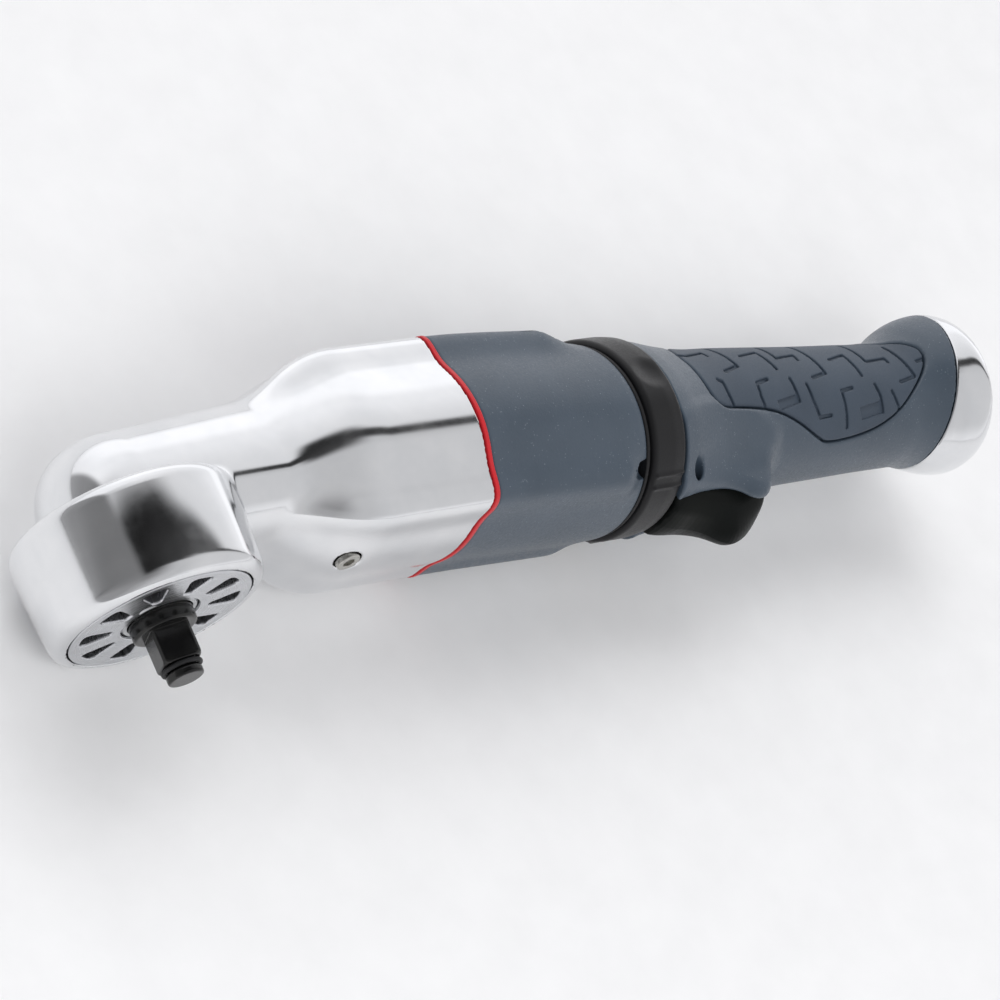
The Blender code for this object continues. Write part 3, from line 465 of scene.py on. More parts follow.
def lube_plug(x, y, z):
    """The lubrication plug, with its hexagon socket."""
    radial, height = plug_places(x, y, z)
    plug = rod(radial, height, *PLUG, 0.5)
    turn = math.radians(PLUG_TURN)
    u = x - PLUG_X
    v = y * math.cos(turn) + z * math.sin(turn)
    return without(plug, np.maximum(hexagon(v, u, 1.45), 24.0 - height), 0.25)


def reverse_ring(x, y, z):
    """The reverse ring: a dimple and two ridges a side, and the tab that turns the valve."""
    radial = about_x(y, z, RING_Z)
    angle = np.degrees(np.arctan2(z - RING_Z, np.abs(y)))
    radius = RING_RADIUS - 0.35 * smooth_step((x - 160.0) / 5.0)
    lift = smooth_step((x - 153.6) / 1.2) * smooth_step((165.2 - x) / 0.8)
    for place in RIDGE_DEGREES:
        radius = radius + 0.5 * lift * np.exp(-(((angle - place) / 1.3) ** 2))
    ring = most(most(radial - radius, RING_X[0] - x, 1.6), x - RING_X[1], 1.4)
    ring = without(ring, radial - RING_BORE, 0.4)
    tip_y = DIMPLE_DISTANCE * math.cos(math.radians(DIMPLE_DEGREES))
    tip_z = RING_Z + DIMPLE_DISTANCE * math.sin(math.radians(DIMPLE_DEGREES))
    from_tip = np.sqrt((x - DIMPLE_X) ** 2 + (np.abs(y) - tip_y) ** 2 + (z - tip_z) ** 2)
    ring = without(ring, from_tip - DIMPLE_RADIUS, 0.7)
    tab = np.maximum(slab(x, *TAB_X), slab(y, -TAB_HALF_WIDTH, TAB_HALF_WIDTH))
    return np.minimum(ring, np.maximum(tab, slab(z, RING_Z + TAB_REACH[0], RING_Z + TAB_REACH[1])))


def handle_form(x, y, z):
    """The handle's and the end cap's outer form."""
    half_width = spline(x, HANDLE, 1)
    half_height = spline(x, HANDLE, 2)
    up = z - spline(x, HANDLE, 3)
    size = np.sqrt((y / half_width) ** 2 + (up / half_height) ** 2) + TINY
    slope = np.sqrt((y / half_width**2) ** 2 + (up / half_height**2) ** 2) / size + TINY
    return (size - 1.0) / slope


def grip_places(x, y, z):
    """Where a point lies on the grip's outline: x, and the way round the handle in millimetres."""
    up = (z - spline(x, HANDLE, 3)) / spline(x, HANDLE, 2)
    out = np.abs(y) / spline(x, HANDLE, 1)
    return x, np.degrees(np.arctan2(up, out)) * MM_PER_DEGREE


def on_handle(points):
    """Points given as x and degrees, in millimetres both ways."""
    return [(x, degrees * MM_PER_DEGREE) for x, degrees in points]


def grip_leaf(u, v):
    """The grip panel's outline on the unrolled handle."""
    return outline_field(rounded_outline(on_handle(GRIP_OUTLINE), 2), u, v)


def behind_cap_plane(x, z):
    """Distance past the slanted plane between the handle and the end cap."""
    place, height, slope = CAP_PLANE
    return (x - place) * math.cos(slope) - (z - height) * math.sin(slope)


def handle(x, y, z):
    """The composite handle with the trigger's shroud, its hollows and the grip panels' beds."""
    form = handle_form(x, y, z)
    skirt = outline_field(rounded_outline(SHROUD_OUTLINE, 3), x, z)
    skirt = most(skirt, np.abs(y) - SHROUD_HALF_WIDTH, 4.0)
    boss = np.sqrt(((x - 184.0) / 24.0) ** 2 + ((z + 17.0) / 13.5) ** 2)
    form = form - 0.8 * smooth_step((1.12 - boss) / 0.28)
    outside = least(form, skirt, 5.0)
    u, v = grip_places(x, y, z)
    leaf = where_near(outside, 4.0, grip_leaf, u, v)
    outside = without(outside, np.maximum(leaf - 0.3, -GRIP_DEPTH - 0.3 - outside), 0.9)
    outside = most(outside, HANDLE_START_X - x, 0.8)
    outside = most(outside, behind_cap_plane(x, z) + CAP_GAP, 0.5)
    spigot = rod(about_x(y, z, RING_Z), x, *SPIGOT)
    outside = np.minimum(outside, spigot)
    wide = TRIGGER_HALF_WIDTH + 0.6
    pocket = np.maximum(outline_field(POCKET_OUTLINE, x, z), np.abs(y) - wide)
    from_pivot = np.hypot(x - PIVOT[0], z - PIVOT[1])
    boss_room = np.maximum(from_pivot - PIVOT_BOSS_RADIUS, np.abs(y) - wide)
    outside = without(outside, np.minimum(pocket, boss_room), 1.2)
    pin_hole = np.hypot((x - PIVOT[0]) * 1.25, z - PIVOT[1]) - 2.5
    outside = without(outside, pin_hole, 0.7)
    about_bore = about_x(y, z, BORE_Z)
    hollow = np.minimum(rod(about_bore, x, *VALVE_BORE), rod(about_bore, x, *AIR_BORE))
    hollow = np.minimum(hollow, rod(about_bore, x, *INLET_SEAT))
    plunger_hole = rod(np.hypot(x - PLUNGER_X, y), z, *PLUNGER_HOLE)
    wedge = math.cos(math.radians(TAB_SLOT_DEGREES)) * np.abs(y) - (z - RING_Z) * TAB_SLOT_RISE
    slot = np.maximum(slab(x, *TAB_SLOT_X), wedge)
    slot = np.maximum(slot, RING_Z + 1.0 - z)
    return without(outside, np.minimum(np.minimum(hollow, plunger_hole), slot))


def grip_panel(side):
    """The field of one grip panel: side is -1 near the camera and 1 away from it."""

    def panel(x, y, z):
        form = handle_form(x, y, z)
        u, v = grip_places(x, y, z)
        shape = np.maximum(form, -side * y + 1.0)
        leaf = where_near(form, 3.0, grip_leaf, u, v)
        shape = most(shape, leaf + 0.2, 0.9)
        shape = most(shape, -GRIP_DEPTH - form, 0.3)
        tread = where_near(form, 3.0, tread_field, u, v)
        return without(shape, np.maximum(tread, -TREAD_DEPTH - form), 0.35)

    return panel


def tread_field(u, v):
    """The tread's strokes and wedges on the unrolled handle."""
    cuts = np.inf
    for stroke in TREAD:
        cuts = np.minimum(cuts, line_field(on_handle(stroke), u, v) - 0.5)
    for wedge in TREAD_WEDGES:
        cuts = np.minimum(cuts, outline_field(on_handle(wedge), u, v) - 0.3)
    return cuts


def trigger(x, y, z):
    """The trigger: flat-sided inside the shroud and rounded like a keel below it."""
    shape = outline_field(rounded_outline(TRIGGER_OUTLINE, 3), x, z)
    low = smooth_step((-22.0 - z) / 12.0)
    side = np.abs(y) - TRIGGER_HALF_WIDTH + 3.2 * low
    shape = most(shape, side, 1.2) * (1.0 - low) + most(shape, side, 8.5) * low
    return without(shape, np.hypot(x - PIVOT[0], z - PIVOT[1]) - PIVOT_RADIUS - 0.3, 0.4)


def end_cap(x, y, z):
    """The polished cap with its ring of exhaust slots."""
    cap = most(handle_form(x, y, z), x - HANDLE_END_X, 1.4)
    cap = most(cap, CAP_GAP - behind_cap_plane(x, z), 0.5)
    about_bore = about_x(y, z, BORE_Z)
    cap = without(cap, rod(about_bore, x, *CAP_BORE))
    cap = without(cap, rod(about_bore, x, *CAP_MOUTH), 0.7)
    step = 2 * math.pi / EXHAUST_SLOTS
    apart = (np.arctan2(z - BORE_Z, y) % step) - step / 2
    from_slot = np.hypot(about_bore * np.cos(apart) - EXHAUST_CIRCLE, about_bore * np.sin(apart))
    return without(cap, np.maximum(from_slot - EXHAUST_RADIUS, EXHAUST_START_X - x), 0.4)


def inlet_bushing(x, y, z):
    """The hexagonal air inlet, with a thread in its mouth."""
    up = z - BORE_Z
    radial = np.sqrt(y * y + up * up)
    bushing = most(hexagon(y, up, INLET_HEXAGON), slab(x, INLET_HEXAGON_X, INLET_END_X), 0.3)
    bushing = most(bushing, radial - 11.1 - 1.6 * (INLET_END_X - x), 0.3)
    bushing = np.minimum(bushing, rod(radial, x, *INLET_BODY, 0.4))
    turn = (x / THREAD_PITCH - np.arctan2(up, y) / (2 * math.pi)) % 1.0
    groove = THREAD_DEPTH * (1.0 - np.abs(2.0 * turn - 1.0)) * smooth_step((x - 272.0) / 2.0)
    mouth = 1.2 * smooth_step((x - INLET_END_X + 1.6) / 1.8)
    return without(bushing, radial - INLET_RADIUS - groove - mouth, 0.2)


def case_screw(number):
    """The field of one socket-head case screw."""
    cy, cz = screw_centre(number)

    def screw(x, y, z):
        radial = np.sqrt((y - cy) ** 2 + (z - cz) ** 2)
        shape = np.minimum(
            rod(radial, x, SCREW_RADIUS, 80.0, SCREW_HEAD_X[0] + 0.5, 0.3),
            rod(radial, x, SCREW_HEAD_RADIUS, *SCREW_HEAD_X, 0.4),
        )
        return without(shape, np.maximum(hexagon(y - cy, z - cz, 1.5), 128.0 - x), 0.2)

    return screw


# ---- meshing


def crossings(values, axis):
    """The grid edges along an axis that the surface crosses, and how far along each it does."""
    start = np.take(values, range(values.shape[axis] - 1), axis)
    stop = np.take(values, range(1, values.shape[axis]), axis)
    found = np.argwhere((start < 0) != (stop < 0))
    for other in range(3):
        if other != axis:
            found = found[(found[:, other] > 0) & (found[:, other] < values.shape[other] - 1)]
    first, second = start[tuple(found.T)], stop[tuple(found.T)]
    return found, first / (first - second), first < 0


def surface_net(values):
    """Points in grid steps and four-sided faces around the zero surface of a grid of values."""
    cells = np.array(values.shape) - 1
    total = np.zeros((cells.prod(), 3))
    count = np.zeros(cells.prod())
    faces = []
    for axis in range(3):
        found, share, outward = crossings(values, axis)
        places = found.astype(float)
        places[:, axis] += share
        others = [other for other in range(3) if other != axis]
        if axis == 1:
            outward = ~outward
        corners = []
        for du, dv in ((0, 0), (1, 0), (1, 1), (0, 1)):
            cell = found.copy()
            cell[:, others[0]] -= du
            cell[:, others[1]] -= dv
            flat = np.ravel_multi_index(tuple(cell.T), tuple(cells))
            np.add.at(total, flat, places)
            np.add.at(count, flat, 1.0)
            corners.append(flat)
        ring = np.stack(corners, 1)
        faces.append(np.where(outward[:, None], ring, ring[:, ::-1]))
    used = np.flatnonzero(count)
    renumber = np.full(len(count), -1)
    renumber[used] = np.arange(len(used))
    return total[used] / count[used, None], renumber[np.concatenate(faces)]


def gradient(field, points):
    """The field's slope at each point, from four samples around it."""
    found = np.zeros_like(points)
    for corner in ((1, -1, -1), (-1, -1, 1), (-1, 1, -1), (1, 1, 1)):
        offset = np.array(corner, float)
        found += field(*(points + SAMPLE_REACH * offset).T)[:, None] * offset
    return found / (4.0 * SAMPLE_REACH)


def settle(field, points, longest):
    """Moves points towards the field's zero surface, each by the longest step at most."""
    slope = gradient(field, points)
    size = np.maximum((slope**2).sum(1), 0.05)
    move = -(field(*points.T) / size)[:, None] * slope
    length = np.sqrt((move**2).sum(1))
    return points + move * np.minimum(1.0, longest / np.maximum(length, TINY))[:, None]


def relax(points, faces):
    """Moves each point half way to the middle of its faces."""
    total = np.zeros_like(points)
    count = np.zeros(len(points))
    middles = points[faces].mean(1)
    for corner in range(4):
        np.add.at(total, faces[:, corner], middles)
        np.add.at(count, faces[:, corner], 1.0)
    return 0.5 * (points + total / np.maximum(count, 1.0)[:, None])


def skin(field, low, high, step):
    """The surface of a field as points, faces and normals, in the tool's millimetres."""
    step = step * FINE
    low = np.array(low, float) - 1.5 * step
    counts = np.ceil((np.array(high, float) + 1.5 * step - low) / step).astype(int) + 1
    x, y, z = (low[i] + step * np.arange(counts[i]) for i in range(3))
    values = np.broadcast_to(field(x[:, None, None], y[None, :, None], z[None, None, :]), counts)
    points, faces = surface_net(values)
    points = low + step * points
    for _ in range(2):
        points = settle(field, points, 0.5 * step)
        points = settle(field, relax(points, faces), 0.5 * step)
    points = settle(field, points, 0.5 * step)
    normals = gradient(field, points)
    normals /= np.maximum(np.sqrt((normals**2).sum(1)), TINY)[:, None]
    return points, faces, normals


def turned(profile, axis, centre):
    """A turned solid from a closed loop of (radius, height) points, as points and faces."""
    points = []
    for radius, height in profile:
        for i in range(TURNED_SIDES):
            angle = 2 * math.pi * i / TURNED_SIDES
            a, b = radius * math.cos(angle), radius * math.sin(angle)
            point = {"X": (height, a, b), "Y": (b, height, a), "Z": (a, b, height)}[axis]
            points.append(np.array(point) + np.array(centre))
    faces = []
    rows = len(profile)
    for row in range(rows):
        here = row * TURNED_SIDES
        above = (row + 1) % rows * TURNED_SIDES
        for i in range(TURNED_SIDES):
            j = (i + 1) % TURNED_SIDES
            faces.append((here + i, here + j, above + j, above + i))
    return np.array(points), np.array(faces)


# ---- from the tool's frame to the scene


def find_origin():
    """Where the tool's own origin lies in the scene, from the drive spindle's box."""
    low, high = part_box("drive_spindle")
    return Vector(((low.x + high.x) / 2, low.y - DRIVE_TIP_Z * MM, (low.z + high.z) / 2))


def turn_over(vectors):
    """Vectors of the tool's frame in the scene's directions."""
    return np.stack([vectors[:, 0], vectors[:, 2], -vectors[:, 1]], 1)


def add_piece(name, node, body, material, points, faces, normals=None, inside=None):
    """Makes a mesh piece that stands for a CAD node and rides on its body.

    inside is a second material and a test of points in the tool's frame: the faces that pass it get it.
    """
    mesh = bpy.data.meshes.new(name)
    places = turn_over(points) * MM + np.array(ORIGIN)
    mesh.from_pydata(places.tolist(), [], faces.tolist())
    mesh.shade_smooth()
    mesh.validate()
    if normals is not None and len(mesh.vertices) == len(normals):
        mesh.normals_split_custom_set_from_vertices(turn_over(normals).tolist())
    else:
        mesh.set_sharp_from_angle(angle=math.radians(30))
    mesh.materials.append(material)
    if inside:
        mesh.materials.append(inside[0])
        chosen = inside[1](*points[faces].mean(1).T)
        mesh.polygons.foreach_set("material_index", chosen.astype(np.int32))
    piece = bpy.data.objects.new(name, mesh)
    bpy.context.scene.collection.objects.link(piece)
    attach(piece, body)
    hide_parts(node)
    return piece


def add_skin(node, body, material, field, low, high, step, inside=None):
    """Meshes a field within the box from low to high, and adds it as its node's piece."""
    points, faces, normals = skin(field, low, high, step)
    name = f"{node}_surface"
    return add_piece(name, node, body, material, points, faces, normals, inside)


def inside_case(x, y, z):
    """The drum's cavity and the bores of the case: a rough cast skin, its near-black colour painted shade
    in these hollows.
    """
    in_drum = (np.hypot(x, y) < 23.0) & (z > FACE_Z + 1.0) & (z < DRUM_TOP_Z - 2.0)
    return in_drum | ((about_x(y, z) < 23.0) & (x > 3.0) & (np.abs(z) < 23.0) & (barrel(x, y, z) < -2.5))


def add_turned(node, body, material, profile, axis, centre=(0.0, 0.0, 0.0)):
    """Turns a profile around an axis and adds it as its node's piece."""
    points, faces = turned(profile, axis, centre)
    return add_piece(f"{node}_surface", node, body, material, points, faces)


# ---- materials


class Nodes:
    """Adds nodes to one material and links them."""

    def __init__(self, name):
        self.material = bpy.data.materials.new(name)
        self.material.use_nodes = True
        self.tree = self.material.node_tree
        self.shader = self.tree.nodes["Principled BSDF"]
        self.place = self.tree.nodes.new("ShaderNodeTexCoord").outputs["Object"]

    def add(self, kind, links=(), **settings):
        node = self.tree.nodes.new(kind)
        for key, value in settings.items():
            setattr(node, key, value)
        for socket, source in dict(links).items():
            if isinstance(source, bpy.types.NodeSocket):
                self.tree.links.new(source, node.inputs[socket])
            else:
                node.inputs[socket].default_value = source
        return node

    def stretched(self, scale):
        return self.add("ShaderNodeMapping", {"Vector": self.place, "Scale": scale}).outputs[0]

    def noise(self, scale, detail=3.0, rough=0.55, vector=None):
        links = {"Vector": vector or self.place, "Scale": scale, "Detail": detail, "Roughness": rough}
        return self.add("ShaderNodeTexNoise", links).outputs["Fac"]

    def ramp(self, value, stops):
        node = self.add("ShaderNodeValToRGB", {"Fac": value})
        elements = node.color_ramp.elements
        while len(elements) < len(stops):
            elements.new(0.5)
        for element, (place, colour) in zip(elements, stops):
            element.position = place
            element.color = (*colour, 1.0)
        return node.outputs["Color"]

    def rescale(self, value, low, high, start=0.35, stop=0.65):
        links = {"Value": value, "From Min": start, "From Max": stop, "To Min": low, "To Max": high}
        return self.add("ShaderNodeMapRange", links).outputs["Result"]

    def bump(self, height, distance, strength, normal=None):
        links = {"Height": height, "Distance": distance, "Strength": strength}
        if normal:
            links["Normal"] = normal
        return self.add("ShaderNodeBump", links).outputs["Normal"]

    def finish(self, **sockets):
        for socket, source in sockets.items():
            target = self.shader.inputs[socket.replace("_", " ")]
            if isinstance(source, bpy.types.NodeSocket):
                self.tree.links.new(source, target)
            elif isinstance(source, tuple):
                target.default_value = (*source, 1.0)
            else:
                target.default_value = source
        return self.material


def shades(nodes, value, dark, light):
    """A colour that wanders between two."""
    return nodes.ramp(value, ((0.3, dark), (0.7, light)))


def polished_metal(name, dark, light, low, high):
    """Hand-polished casting: soft waves, faint haze and very fine scratches."""
    nodes = Nodes(name)
    haze = nodes.noise(90.0, 4.0)
    scratches = nodes.noise(1500.0, 2.0, 0.6, nodes.stretched((1.0, 0.08, 0.08)))
    waves = nodes.bump(nodes.noise(38.0, 1.0), 0.0002, 0.10)
    normal = nodes.bump(scratches, 0.00001, 0.20, waves)
    return nodes.finish(
        Base_Color=shades(nodes, haze, dark, light),
        Metallic=1.0,
        Roughness=nodes.rescale(haze, low, high),
        Normal=normal,
    )


def turned_metal(name, dark, light, low, high, axis_place):
    """Metal with the fine circular lines of turning around an axis along the scene's Y."""
    nodes = Nodes(name)
    vector_math = "ShaderNodeVectorMath"
    offset = nodes.add(vector_math, {0: nodes.place, 1: axis_place}, operation="SUBTRACT")
    flat = nodes.add(vector_math, {0: offset.outputs[0], 1: (1.0, 0.0, 1.0)}, operation="MULTIPLY")
    radius = nodes.add(vector_math, {0: flat.outputs[0]}, operation="LENGTH").outputs["Value"]
    links = {"W": radius, "Scale": 2600.0, "Detail": 3.0}
    lines = nodes.add("ShaderNodeTexNoise", links, noise_dimensions="1D").outputs["Fac"]
    mottle = nodes.noise(160.0)
    return nodes.finish(
        Base_Color=shades(nodes, mottle, dark, light),
        Metallic=1.0,
        Roughness=nodes.rescale(lines, low, high),
        Normal=nodes.bump(lines, 0.00001, 0.2),
    )


def machined_metal(name, dark, light, low, high, metallic=1.0):
    """Ground, plated or oxidised steel: mottled colour and a fine grain."""
    nodes = Nodes(name)
    mottle = nodes.noise(120.0, 5.0)
    fine = nodes.noise(2100.0, 2.0)
    return nodes.finish(
        Base_Color=shades(nodes, mottle, dark, light),
        Metallic=metallic,
        Roughness=nodes.rescale(mottle, low, high),
        Normal=nodes.bump(fine, 0.00002, 0.35),
    )


def moulded(name, dark, light, low, high, grain, depth, speckle=None, coat=0.0, specular=0.5):
    """Moulded plastic or rubber: spark-eroded texture, with mineral flecks where speckle is given."""
    nodes = Nodes(name)
    cloud = nodes.noise(45.0, 3.0)
    pebble = nodes.noise(grain, 3.0, 0.65)
    colour = shades(nodes, cloud, dark, light)
    if speckle:
        cells = nodes.add("ShaderNodeTexVoronoi", {"Vector": nodes.place, "Scale": grain * 0.8})
        fleck = nodes.rescale(cells.outputs["Distance"], 1.0, 0.0, 0.05, 0.22)
        rare = nodes.rescale(nodes.noise(grain * 0.35, 1.0), 0.0, 1.0, 0.5, 0.62)
        both = nodes.add("ShaderNodeMath", {0: fleck, 1: rare}, operation="MULTIPLY").outputs[0]
        links = {0: both, 6: colour, 7: (*speckle, 1.0)}
        colour = nodes.add("ShaderNodeMix", links, data_type="RGBA").outputs[2]
    return nodes.finish(
        Base_Color=colour,
        Roughness=nodes.rescale(pebble, low, high),
        Normal=nodes.bump(pebble, depth, 0.6),
        Specular_IOR_Level=specular,
        Coat_Weight=coat,
        Coat_Roughness=0.38,
    )


def make_materials():
    """Every material by name: its colours are scene-linear, and its last numbers its finish."""
    return {
        "polished_aluminium": polished_metal(
            "polished_aluminium", (0.74, 0.75, 0.765), (0.81, 0.815, 0.825), 0.08, 0.15
        ),
        "face_plate": turned_metal(
            "face_plate_metal", (0.60, 0.61, 0.63), (0.68, 0.69, 0.71), 0.26, 0.36, tuple(ORIGIN)
        ),
        "grey_composite": moulded(
            "grey_composite", (0.043, 0.062, 0.086), (0.056, 0.078, 0.106), 0.32, 0.50, 1500.0,
            0.00012, (0.20, 0.24, 0.28), 0.22
        ),
        "grey_overmould": moulded(
            "grey_overmould", (0.040, 0.056, 0.079), (0.050, 0.069, 0.096), 0.50, 0.62, 2200.0, 0.00004
        ),
        "black_ring": moulded(
            "black_ring", (0.006, 0.006, 0.007), (0.010, 0.010, 0.011), 0.32, 0.44, 1800.0, 0.00005,
            specular=0.3
        ),
        "black_trigger": moulded(
            "black_trigger", (0.004, 0.005, 0.005), (0.008, 0.009, 0.008), 0.30, 0.42, 1700.0, 0.00004,
            specular=0.08
        ),
        "red_gasket": moulded(
            "red_gasket", (0.50, 0.008, 0.014), (0.60, 0.012, 0.020), 0.34, 0.46, 900.0, 0.00003
        ),
        "black_rubber": moulded(
            "black_rubber", (0.007, 0.007, 0.008), (0.011, 0.011, 0.012), 0.5, 0.65, 1200.0, 0.00004
        ),
        "oxide_steel": machined_metal(
            "oxide_steel", (0.022, 0.022, 0.023), (0.048, 0.048, 0.046), 0.14, 0.24, 0.8
        ),
        # cast_inside: rough cast skin for the case's inner faces; its near-black colour is painted shade
        # in the hollows
        "cast_inside": machined_metal(
            "cast_inside", (0.012, 0.012, 0.012), (0.03, 0.03, 0.028), 0.5, 0.7, 0.3
        ),
        "ground_steel": machined_metal("ground_steel", (0.48, 0.49, 0.50), (0.58, 0.59, 0.60), 0.2, 0.34),
        "screw_steel": machined_metal("screw_steel", (0.22, 0.22, 0.225), (0.34, 0.34, 0.34), 0.24, 0.38),
        "plug_steel": machined_metal("plug_steel", (0.46, 0.45, 0.42), (0.60, 0.59, 0.55), 0.26, 0.40),
        "bronze": machined_metal("bronze", (0.42, 0.26, 0.11), (0.58, 0.38, 0.18), 0.3, 0.46),
        "felt": moulded("felt", (0.26, 0.25, 0.22), (0.38, 0.37, 0.33), 0.9, 1.0, 2600.0, 0.0004),
        "vane_composite": moulded(
            "vane_composite", (0.13, 0.08, 0.045), (0.20, 0.13, 0.07), 0.5, 0.6, 900.0, 0.00005
        ),
    }


def dress_cad_nodes(frame, materials):
    """Gives every CAD node that stays its slot's procedural material."""
    for row in frame["record"]["subparts"]:
        thing = frame["nodes"][row["node"]]
        thing.data.materials.clear()
        thing.data.materials.append(materials[row["material_slot"]])


# ---- pieces


def build_pieces(materials):
    """Adds the pieces that show, each with a box around its field and its mesh step in millimetres."""
    metal, grey = materials["polished_aluminium"], materials["grey_composite"]
    # The case's inner faces take cast_inside, whose near-black colour is painted shade in the drum and
    # bores
    add_skin("hammer_case", "housing", metal, hammer_case,
             (-27.9, -32.0, -30.5), (95.2, 32.0, 32.0), 0.62, (materials["cast_inside"], inside_case))
    add_skin("motor_housing", "housing", grey, motor_housing,
             (96.5, -31.0, -31.0), (151.4, 31.0, 31.0), 0.6)
    add_skin("case_gasket", "housing", materials["red_gasket"], case_gasket,
             (95.0, -32.0, -32.0), (96.8, 32.0, 32.0), 0.3)
    add_skin("face_plate", "housing", materials["face_plate"], face_plate,
             (-23.0, -23.0, -29.8), (23.0, 23.0, -26.1), 0.27)
    add_skin("drive_spindle", "drive", materials["oxide_steel"], drive_spindle,
             (-8.1, -8.1, -45.5), (8.1, 8.1, 7.9), 0.3)
    add_skin("lube_plug", "housing", materials["plug_steel"], lube_plug,
             (55.0, -6.2, -25.9), (62.0, 1.4, -22.4), 0.16)
    add_skin("reverse_ring", "reverse_control", materials["black_ring"], reverse_ring,
             (152.8, -27.2, -28.6), (165.2, 27.2, 26.0), 0.45)
    add_skin("handle", "housing", grey, handle,
             (151.5, -26.0, -30.5), (289.5, 26.0, 25.0), 0.62)
    for side, name in ((-1, "near"), (1, "far")):
        low_y, high_y = sorted((side * 3.0, side * 21.5))
        add_skin(f"grip_panel_{name}", "housing", materials["grey_overmould"],
                 grip_panel(side), (181.0, low_y, -20.5), (274.5, high_y, 20.5), 0.42)
    add_skin("trigger", "trigger", materials["black_trigger"], trigger,
             (166.0, -9.1, -38.0), (201.6, 9.1, -16.0), 0.36)
    add_skin("end_cap", "housing", metal, end_cap,
             (272.0, -23.2, -26.2), (292.1, 23.2, 20.8), 0.42)
    add_skin("inlet_bushing", "housing", materials["screw_steel"], inlet_bushing,
             (258.5, -10.8, -14.6), (297.1, 10.8, 10.2), 0.3)
    for number in range(1, len(SCREWS) + 1):
        cy, cz = screw_centre(number)
        add_skin(f"case_screw_{number}", "housing", materials["screw_steel"],
                 case_screw(number), (79.9, cy - 3.0, cz - 3.0), (130.1, cy + 3.0, cz + 3.0), 0.28)
    build_turned_pieces(materials)


def bevelled_ring(low, high, inner, outer, bevel):
    """The profile of a ring with bevelled outer edges."""
    return (
        (inner, low), (outer - bevel, low), (outer, low + bevel),
        (outer, high - bevel), (outer - bevel, high), (inner, high),
    )


def build_turned_pieces(materials):
    """Adds the small round pieces: a bushing and a seal, the retainer and the trigger's pin."""
    add_turned("housing_seal", "housing", materials["black_rubber"],
               bevelled_ring(151.5, 152.6, 21.3, 25.2, 0.2), "X", (0.0, 0.0, RING_Z))
    add_turned("face_plate_bushing", "housing", materials["ground_steel"],
               bevelled_ring(-29.2, -20.6, 8.3, 9.6, 0.4), "Z")
    loop = [2 * math.pi * i / 20 for i in range(20)]
    add_turned("socket_retainer", "drive", materials["black_rubber"],
               [(4.55 + 0.62 * math.cos(t), -42.45 + 0.6 * math.sin(t)) for t in loop], "Z")
    add_turned("trigger_pin", "housing", materials["screw_steel"],
               [(0.01, -11.2), (1.5, -11.2), (1.8, -10.9), (1.8, 10.9), (1.5, 11.2), (0.01, 11.2)],
               "Y", (PIVOT[0], 0.0, PIVOT[1]))


# ---- floor, light and camera


def row_point(point):
    """A point of the tool's frame, in the scene and in metres."""
    return Vector((point[0], point[2], -point[1])) * MM + ORIGIN


def add_camera():
    """A camera at the angle from which the tool is seen, in the tool's frame and then turned over."""
    azimuth, elevation, roll = (
        math.radians(a) for a in (CAMERA_AZIMUTH, CAMERA_ELEVATION, CAMERA_ROLL)
    )
    ahead = Vector((math.sin(azimuth) * math.cos(elevation), math.cos(azimuth) * math.cos(elevation),
                    math.sin(elevation)))
    right = ahead.cross(Vector((0.0, 0.0, 1.0))).normalized()
    down = ahead.cross(right)
    tilted_right = math.cos(roll) * right - math.sin(roll) * down
    tilted_down = math.sin(roll) * right + math.cos(roll) * down
    columns = [Vector((v.x, v.z, -v.y)) for v in (tilted_right, -tilted_down, -ahead)]
    turn = Matrix(columns).transposed().to_4x4()
    camera = bpy.data.objects.new("camera", bpy.data.cameras.new("camera"))
    camera.matrix_world = Matrix.Translation(row_point(CAMERA_PLACE)) @ turn
    camera.data.lens = CAMERA_LENS
    camera.data.sensor_width = SENSOR_WIDTH
    camera.data.clip_start = 0.05
    bpy.context.scene.collection.objects.link(camera)
    bpy.context.scene.camera = camera


def add_softbox(name, place, target, size, power):
    """A rectangular area light that faces a target and leaves no reflection of its own."""
    light = bpy.data.lights.new(name, "AREA")
    light.shape = "RECTANGLE"
    light.size, light.size_y = size
    light.energy = power
    lamp = bpy.data.objects.new(name, light)
    lamp.location = place
    lamp.visible_glossy = False
    lamp.rotation_euler = (Vector(target) - Vector(place)).to_track_quat("-Z", "Y").to_euler()
    bpy.context.scene.collection.objects.link(lamp)


# The studio's brightness. Each row is for directions that lean so far towards the air inlet, from -1
# to 1, and its pairs are degrees from overhead, positive away from the camera, and brightness.
STUDIO = (
    (-0.66, ((-180, 0.50), (-60, 0.34), (0, 0.24), (20, 0.20), (60, 0.30), (90, 0.38), (180, 0.50))),
    (-0.54, ((-180, 0.55), (-60, 0.40), (-25, 0.25), (3, 0.02), (17, 0.01), (24, 0.70), (45, 1.10),
             (180, 0.80))),
    (0.02, ((-180, 0.60), (-60, 0.62), (-4, 0.62), (5, 0.05), (17, 0.02), (22, 0.90), (50, 1.10),
            (64, 1.25), (82, 1.25), (95, 0.90), (180, 0.75))),
    (0.45, ((-180, 0.70), (-90, 0.95), (-66, 0.72), (-5, 0.70), (4, 0.64), (8, 0.04), (14, 0.04),
            (18, 0.86), (50, 1.05), (64, 1.25), (82, 1.25), (95, 0.90), (180, 0.75))),
)

STUDIO_BLUE = 1.02


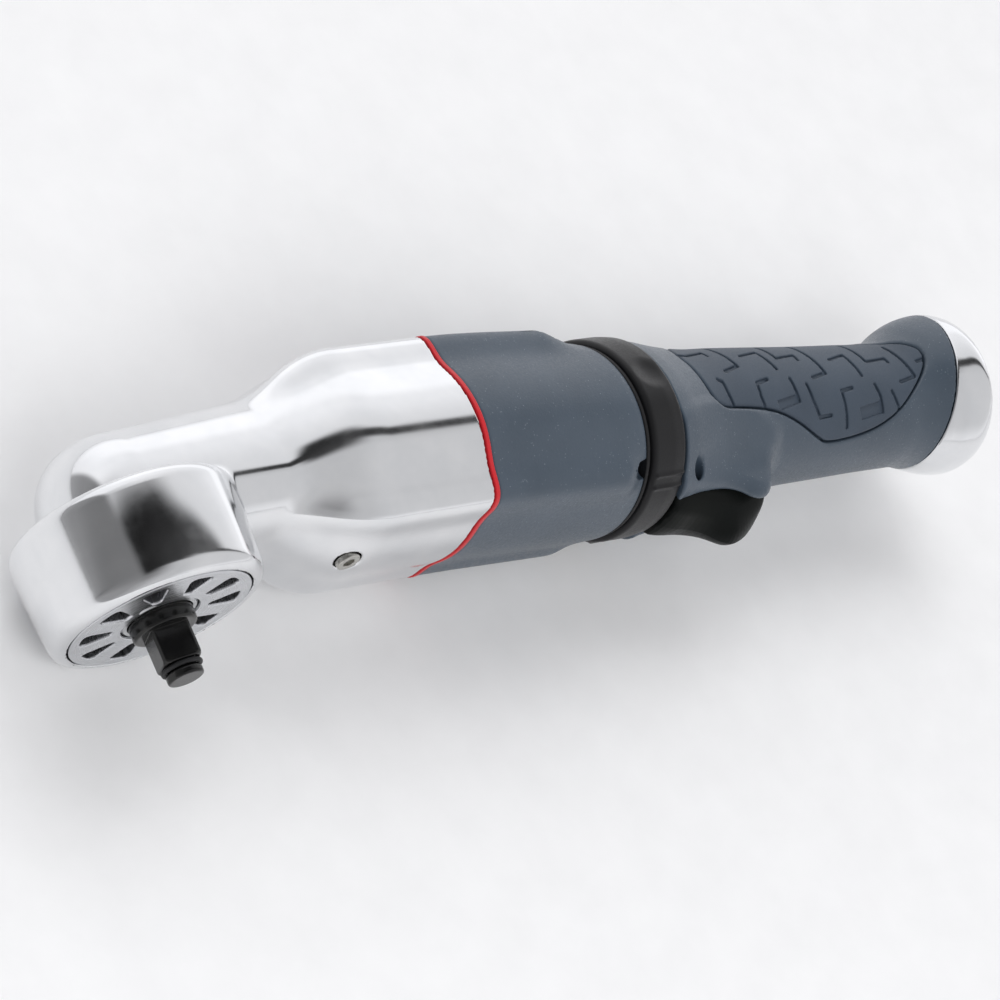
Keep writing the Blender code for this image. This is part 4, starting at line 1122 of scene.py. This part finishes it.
def add_world():
    """A soft studio: a white wall of light behind the tool, grey in front, and dark between."""
    world = bpy.data.worlds.new("studio")
    world.use_nodes = True
    bpy.context.scene.world = world
    tree = world.node_tree
    place = tree.nodes.new("ShaderNodeTexCoord").outputs["Generated"]
    parts = tree.nodes.new("ShaderNodeSeparateXYZ")
    tree.links.new(place, parts.inputs[0])
    angle = tree.nodes.new("ShaderNodeMath")
    angle.operation = "ARCTAN2"
    tree.links.new(parts.outputs["Y"], angle.inputs[0])
    tree.links.new(parts.outputs["Z"], angle.inputs[1])
    share = tree.nodes.new("ShaderNodeMapRange")
    share.inputs["From Min"].default_value = -math.pi
    share.inputs["From Max"].default_value = math.pi
    tree.links.new(angle.outputs[0], share.inputs["Value"])
    colour = None
    for number, (place_x, stops) in enumerate(STUDIO):
        ramp = tree.nodes.new("ShaderNodeValToRGB")
        ramp.color_ramp.interpolation = "EASE"
        tree.links.new(share.outputs[0], ramp.inputs["Fac"])
        elements = ramp.color_ramp.elements
        while len(elements) < len(stops):
            elements.new(0.5)
        for element, (degrees, level) in zip(elements, stops):
            element.position = (degrees + 180.0) / 360.0
            element.color = (level, level, level * STUDIO_BLUE, 1.0)
        if colour is None:
            colour = ramp.outputs["Color"]
            continue
        blend = tree.nodes.new("ShaderNodeMapRange")
        blend.interpolation_type = "SMOOTHSTEP"
        blend.inputs["From Min"].default_value = STUDIO[number - 1][0]
        blend.inputs["From Max"].default_value = place_x
        tree.links.new(parts.outputs["X"], blend.inputs["Value"])
        mix = tree.nodes.new("ShaderNodeMix")
        mix.data_type = "RGBA"
        tree.links.new(blend.outputs[0], mix.inputs[0])
        tree.links.new(colour, mix.inputs[6])
        tree.links.new(ramp.outputs["Color"], mix.inputs[7])
        colour = mix.outputs[2]
    tree.links.new(colour, tree.nodes["Background"].inputs["Color"])


def add_floor():
    """A pale floor, level with the object's lowest point."""
    half = 3.0
    mesh = bpy.data.meshes.new("floor")
    corners = [(-half, -half, 0.0), (half, -half, 0.0), (half, half, 0.0), (-half, half, 0.0)]
    mesh.from_pydata(corners, [], [(0, 1, 2, 3)])
    nodes = Nodes("floor_paper")
    grain = nodes.noise(60.0)
    nodes.finish(
        Base_Color=shades(nodes, grain, (0.90, 0.90, 0.905), (0.93, 0.93, 0.935)),
        Roughness=nodes.rescale(grain, 0.75, 0.85),
    )
    mesh.materials.append(nodes.material)
    floor = bpy.data.objects.new("floor", mesh)
    bpy.context.scene.collection.objects.link(floor)


def light_scene():
    """Two large lights from above, and a plain view transform."""
    target = (0.0, 0.0, 0.03)
    add_softbox("back_softbox", (0.4, 1.1, 1.3), target, (1.2, 0.8), 8.0)
    add_softbox("front_softbox", (-0.5, -0.9, 1.0), target, (0.9, 0.9), 8.5)
    scene = bpy.context.scene
    scene.view_settings.view_transform = "Standard"
    scene.view_settings.look = "None"


def remove_startup_objects():
    for name in ("Cube", "Light", "Camera"):
        leftover = bpy.data.objects.get(name)
        if leftover:
            bpy.data.objects.remove(leftover, do_unlink=True)


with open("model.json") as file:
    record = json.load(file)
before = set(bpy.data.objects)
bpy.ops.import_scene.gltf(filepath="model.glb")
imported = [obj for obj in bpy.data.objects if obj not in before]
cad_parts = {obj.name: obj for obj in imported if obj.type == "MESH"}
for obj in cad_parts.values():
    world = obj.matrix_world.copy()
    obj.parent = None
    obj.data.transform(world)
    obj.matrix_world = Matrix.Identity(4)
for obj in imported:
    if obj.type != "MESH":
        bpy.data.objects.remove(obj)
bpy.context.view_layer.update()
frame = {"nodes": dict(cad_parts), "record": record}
ORIGIN = find_origin()
remove_startup_objects()
finishes = make_materials()
dress_cad_nodes(frame, finishes)
build_pieces(finishes)
add_floor()
add_world()
light_scene()
add_camera()
